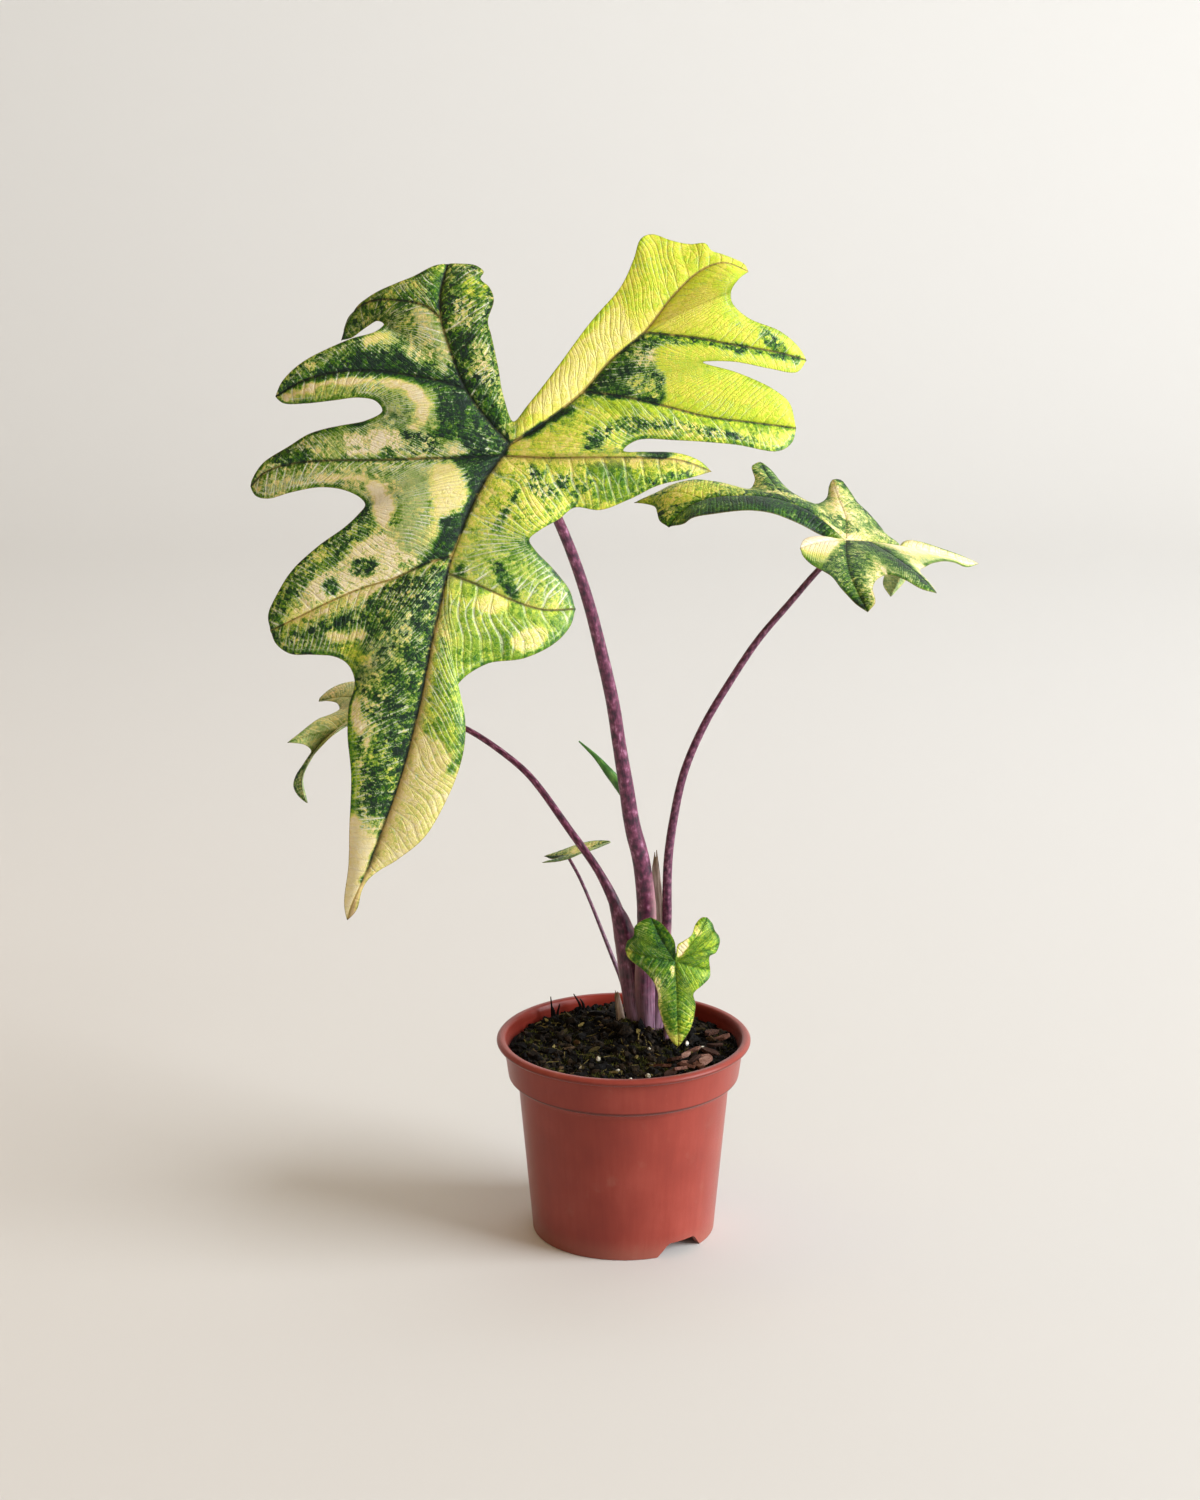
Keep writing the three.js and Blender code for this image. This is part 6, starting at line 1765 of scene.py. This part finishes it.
# %% Small patches of the big leaf
# Each oval: pigment, tone and mottle, then its middle, two radii and angle.
MAIN_LEAF["ovals"] = [
    (0.44, 0.1, 0.35, (-39, 41), (6, 6), 0), (0.12, 0.6, 0.12, (-57, 46), (8, 2.8), 18),
    (0.56, 0.9, 0.3, (-15, 66), (6, 8), 0), (0.58, 0.4, 0.5, (-20, 56), (6, 8), 0),
    (0.92, 0.1, 0.3, (-19, 43), (6, 6), 0), (0.56, 0.2, 0.55, (-12, 37), (5, 8), 20),
    (0.84, 0.1, 0.35, (-96, -5), (9, 3.4), 5), (0.82, 0.1, 0.4, (-54, -4), (3.4, 2), 0),
    (0.88, 0.1, 0.6, (-63, -54), (5.4, 4.2), 10), (0.8, 0.1, 0.3, (-77, -62), (3.6, 3), 0),
    (0.16, 0.3, 0.2, (-71, -83), (9, 2.6), 0), (0.52, 0.9, 0.3, (-68, -91), (8, 6), 0),
    (0.1, 0.1, 0.2, (-65, -119), (2.6, 7), 5), (0.12, 0.1, 0.25, (-61, -131), (2.4, 6), 0),
    (0.7, 0.7, 0.5, (-56, -140), (7, 13), 5), (0.44, 0.2, 0.35, (-59, -163), (5, 5), 0),
    (0.9, 0.1, 0.3, (-57, -156), (4.4, 5), 0), (0.8, 0.3, 0.35, (-2, -59), (9, 3), -58),
    (0.82, 0.1, 0.3, (-21, -54), (3, 3), 0), (0.16, 0.6, 0.2, (-7, -69), (7, 4), 0),
    (0.16, 0.5, 0.3, (9, -84), (8, 5), 20), (0.68, 0.5, 0.5, (15, -20), (8, 3.4), -20),
    (0.7, 0.5, 0.5, (11, -13), (5, 2.6), -40), (0.66, 0.5, 0.5, (24, -17), (5, 4), 0),
    (0.6, 1, 0.2, (44, -16), (12, 9), 0), (0.6, 0.7, 0.55, (58, 25), (8, 5.5), 0),
    (0.52, 0.9, 0.4, (30, -18), (8, 5), 20), (0.82, 0.3, 0.3, (64, -5), (7, 1.6), 0),
    (0.46, 0.2, 0.5, (57, 38), (6, 5), 0), (0.62, 0.9, 0.4, (113, 45), (7, 3), -35),
    # Painted light: the last oval is a paler lime patch where the upper right lobe turns away from the light
    (0.19, 1, 0.08, (77, 57), (13, 7), 35)]
print("small patches:", len(MAIN_LEAF["ovals"]))

# %% [markdown]
# ## Painting the smaller leaves
# The right leaf lies nearly edge-on: dark green arms, a cream lobe folded towards us and cream along its
# midrib. The left one is pale sage with cream. The leaf just above the soil is mid green on its left and
# lime on its right, with a cream edge and a yellow tip, and the one behind the stalks is green and yellow.

# %% Coats of the smaller leaves
RIGHT_LEAF["coats"] = [
    [(0.04, 0.1, 0.6, 0.1, 0.14, 0), (0.6, 0.5, 0.3, 0.3, 0.3, 0)],
    [(0.5, 0.5, 0.4, 0.3, 0.3, 0), (0.16, 0.44, 0.76, 0.2, 0.3, 0)],
    [(0.14, 0.24, 0.6, 0.2, 0.24, 0), (0.86, 0.78, 0.6, 0.2, 0.3, 0)],
    [(0.84, 0.7, 0.4, 0.4, 0.4, 0), (0.66, 0.5, 0.38, 0.7, 0.4, 0)],
    [(0.45, 0.42, 0.5, 0.8, 0.3, 0), (0.66, 0.6, 0.76, 0.5, 0.36, 0)],
    [(0.9, 0.94, 0.8, 0.1, 0.2, 0), (0.03, 0.02, 0.04, 0, 0.05, 0)],
    [(0.03, 0.04, 0.6, 0.3, 0.1, 0), (0.8, 0.74, 0.62, 0.2, 0.34, 0)],
    [(0.86, 0.66, 0.26, 0.2, 0.32, 0), (0.92, 0.86, 0.5, 0.1, 0.24, 0)],
    [(0.92, 0.5, 0.08, 0.1, 0.24, 0), (0.04, 0.06, 0.5, 0, 0.1, 0)],
]
RIGHT_LEAF["ovals"] = [
    (0.34, 0.9, 0.3, (-70, 25), (14, 6), 0), (0.72, 0.6, 0.2, (-76, 10), (10, 6), 10),
    (0.84, 0.2, 0.2, (-57, 8), (11, 6), 0), (0.03, 0, 0.05, (-10, -9), (7, 5), 40),
    (0.66, 0.2, 0.4, (-2, 12), (9, 7), 0), (0.3, 0.2, 0.4, (-26, 22), (10, 2.5), 10)]
LEFT_LEAF["coats"] = [[(0.48, 0.42, 0.36, 0, 0.16, 0), (0.44, 0.38, 0.36, 0, 0.16, 0)]] * 6
LEFT_LEAF["ovals"] = [(0.62, 0.1, 0.3, (-44, 8), (8, 8), 0), (0.2, 0, 0.3, (-14, 8), (5, 10), 30)]
BACK_LEAF["coats"] = [
    [(0.2, 0.3, 0.55, 0.5, 0.3, 0), (0.55, 0.62, 0.66, 0.2, 0.3, 0)],
    [(0.8, 0.85, 0.8, 0.1, 0.2, 0), (0.8, 0.86, 0.8, 0.1, 0.2, 0)],
    [(0.84, 0.7, 0.6, 0.1, 0.3, 0), (0.25, 0.16, 0.55, 0.6, 0.3, 0)],
]
BACK_LEAF["ovals"] = [(0.66, 0.3, 0.3, (14, 0), (6, 4), 0)]
print("coats of the right and back leaves:", len(RIGHT_LEAF["coats"]), len(BACK_LEAF["coats"]))

# %% The leaf above the soil
FRONT_LEAF["coats"] = [
    [(0.8, 0.7, 0.64, 0.4, 0.14, 0), (0.72, 0.68, 0.58, 0.6, 0.16, 0)],
    [(0.74, 0.68, 0.52, 0.6, 0.18, 0), (0.66, 0.64, 0.5, 0.6, 0.18, 0)],
    [(0.64, 0.6, 0.5, 0.9, 0.16, 0), (0.62, 0.56, 0.54, 1, 0.14, 0)],
    [(0.6, 0.55, 0.56, 1, 0.14, 0), (0.62, 0.56, 0.58, 1, 0.14, 0)],
    [(0.6, 0.55, 0.56, 1, 0.14, 0), (0.6, 0.54, 0.56, 1, 0.14, 0)],
    [(0.58, 0.5, 0.36, 0.9, 0.18, 0), (0.78, 0.74, 0.68, 0.4, 0.14, 0)],
]
FRONT_LEAF["outlines"] = [
    (0.06, 0.1, 0.1, [(0, 1), (1, 8), (6, 12), (7, 7), (3, 2)]),
    (0.2, 0.3, 0.5, [(-9, -7), (-7, -9), (-6.4, -16), (-6.4, -25), (-3, -33), (-1, -37), (-3, -37),
        (-9, -25), (-9, -14)]),
    (0.44, 0.8, 0.3, [(9, -17), (8.2, -18), (7.4, -24), (6, -31), (10, -26)]),
    (0.25, 0.7, 0.1, [(-3, -34), (5, -34), (2, -43), (-1, -41)]),
]
FRONT_LEAF["ovals"] = [
    (0.12, 0.2, 0.3, (-1.2, -4), (0.8, 2.2), 0), (0.4, 0.6, 0.2, (-22, 3), (2, 2.6), 0),
    (0.22, 0.5, 0.4, (10.6, 13.6), (1.8, 2.4), 0)]
for small in (RIGHT_LEAF, LEFT_LEAF, BACK_LEAF, FRONT_LEAF):
    small["vein_gap"] = SMALL_VEIN_GAP
    small["pucker"] = 0.22
    small["closeness"] = [1] * len(small["webs"])
    small["rough_edge"] = 0.5
    small.setdefault("outlines", [])
print("coats of the front leaf:", len(FRONT_LEAF["coats"]))

# %% The blades in their places
BIG_LEAF_TILT = 16.4
FRONT_LEAF_TILT = 10
# Name, leaf, place, how far it is turned up, samples in a span of its ribs, skin and solid
BLADES = [
    ("big_leaf", MAIN_LEAF, (-50.1, -75, 397.4), 90 - BIG_LEAF_TILT, 10, main_skin, "blade_main"),
    ("front_leaf", FRONT_LEAF, (23.8, -20, 141), 90 - FRONT_LEAF_TILT, 8, small_skin, "blade_front"),
    ("right_leaf", RIGHT_LEAF, (101.5, 12, 334.5), 0, 8, small_skin, "blade_right"),
    ("left_leaf", LEFT_LEAF, (-112, 80, 236.5), 0, 8, small_skin, "blade_left"),
    ("back_leaf", BACK_LEAF, (-26, 54, 168.8), 0, 8, small_skin, "blade_back"),
]
for *blade_values, node in BLADES:
    belongs(blade(*blade_values), "leaf", node)
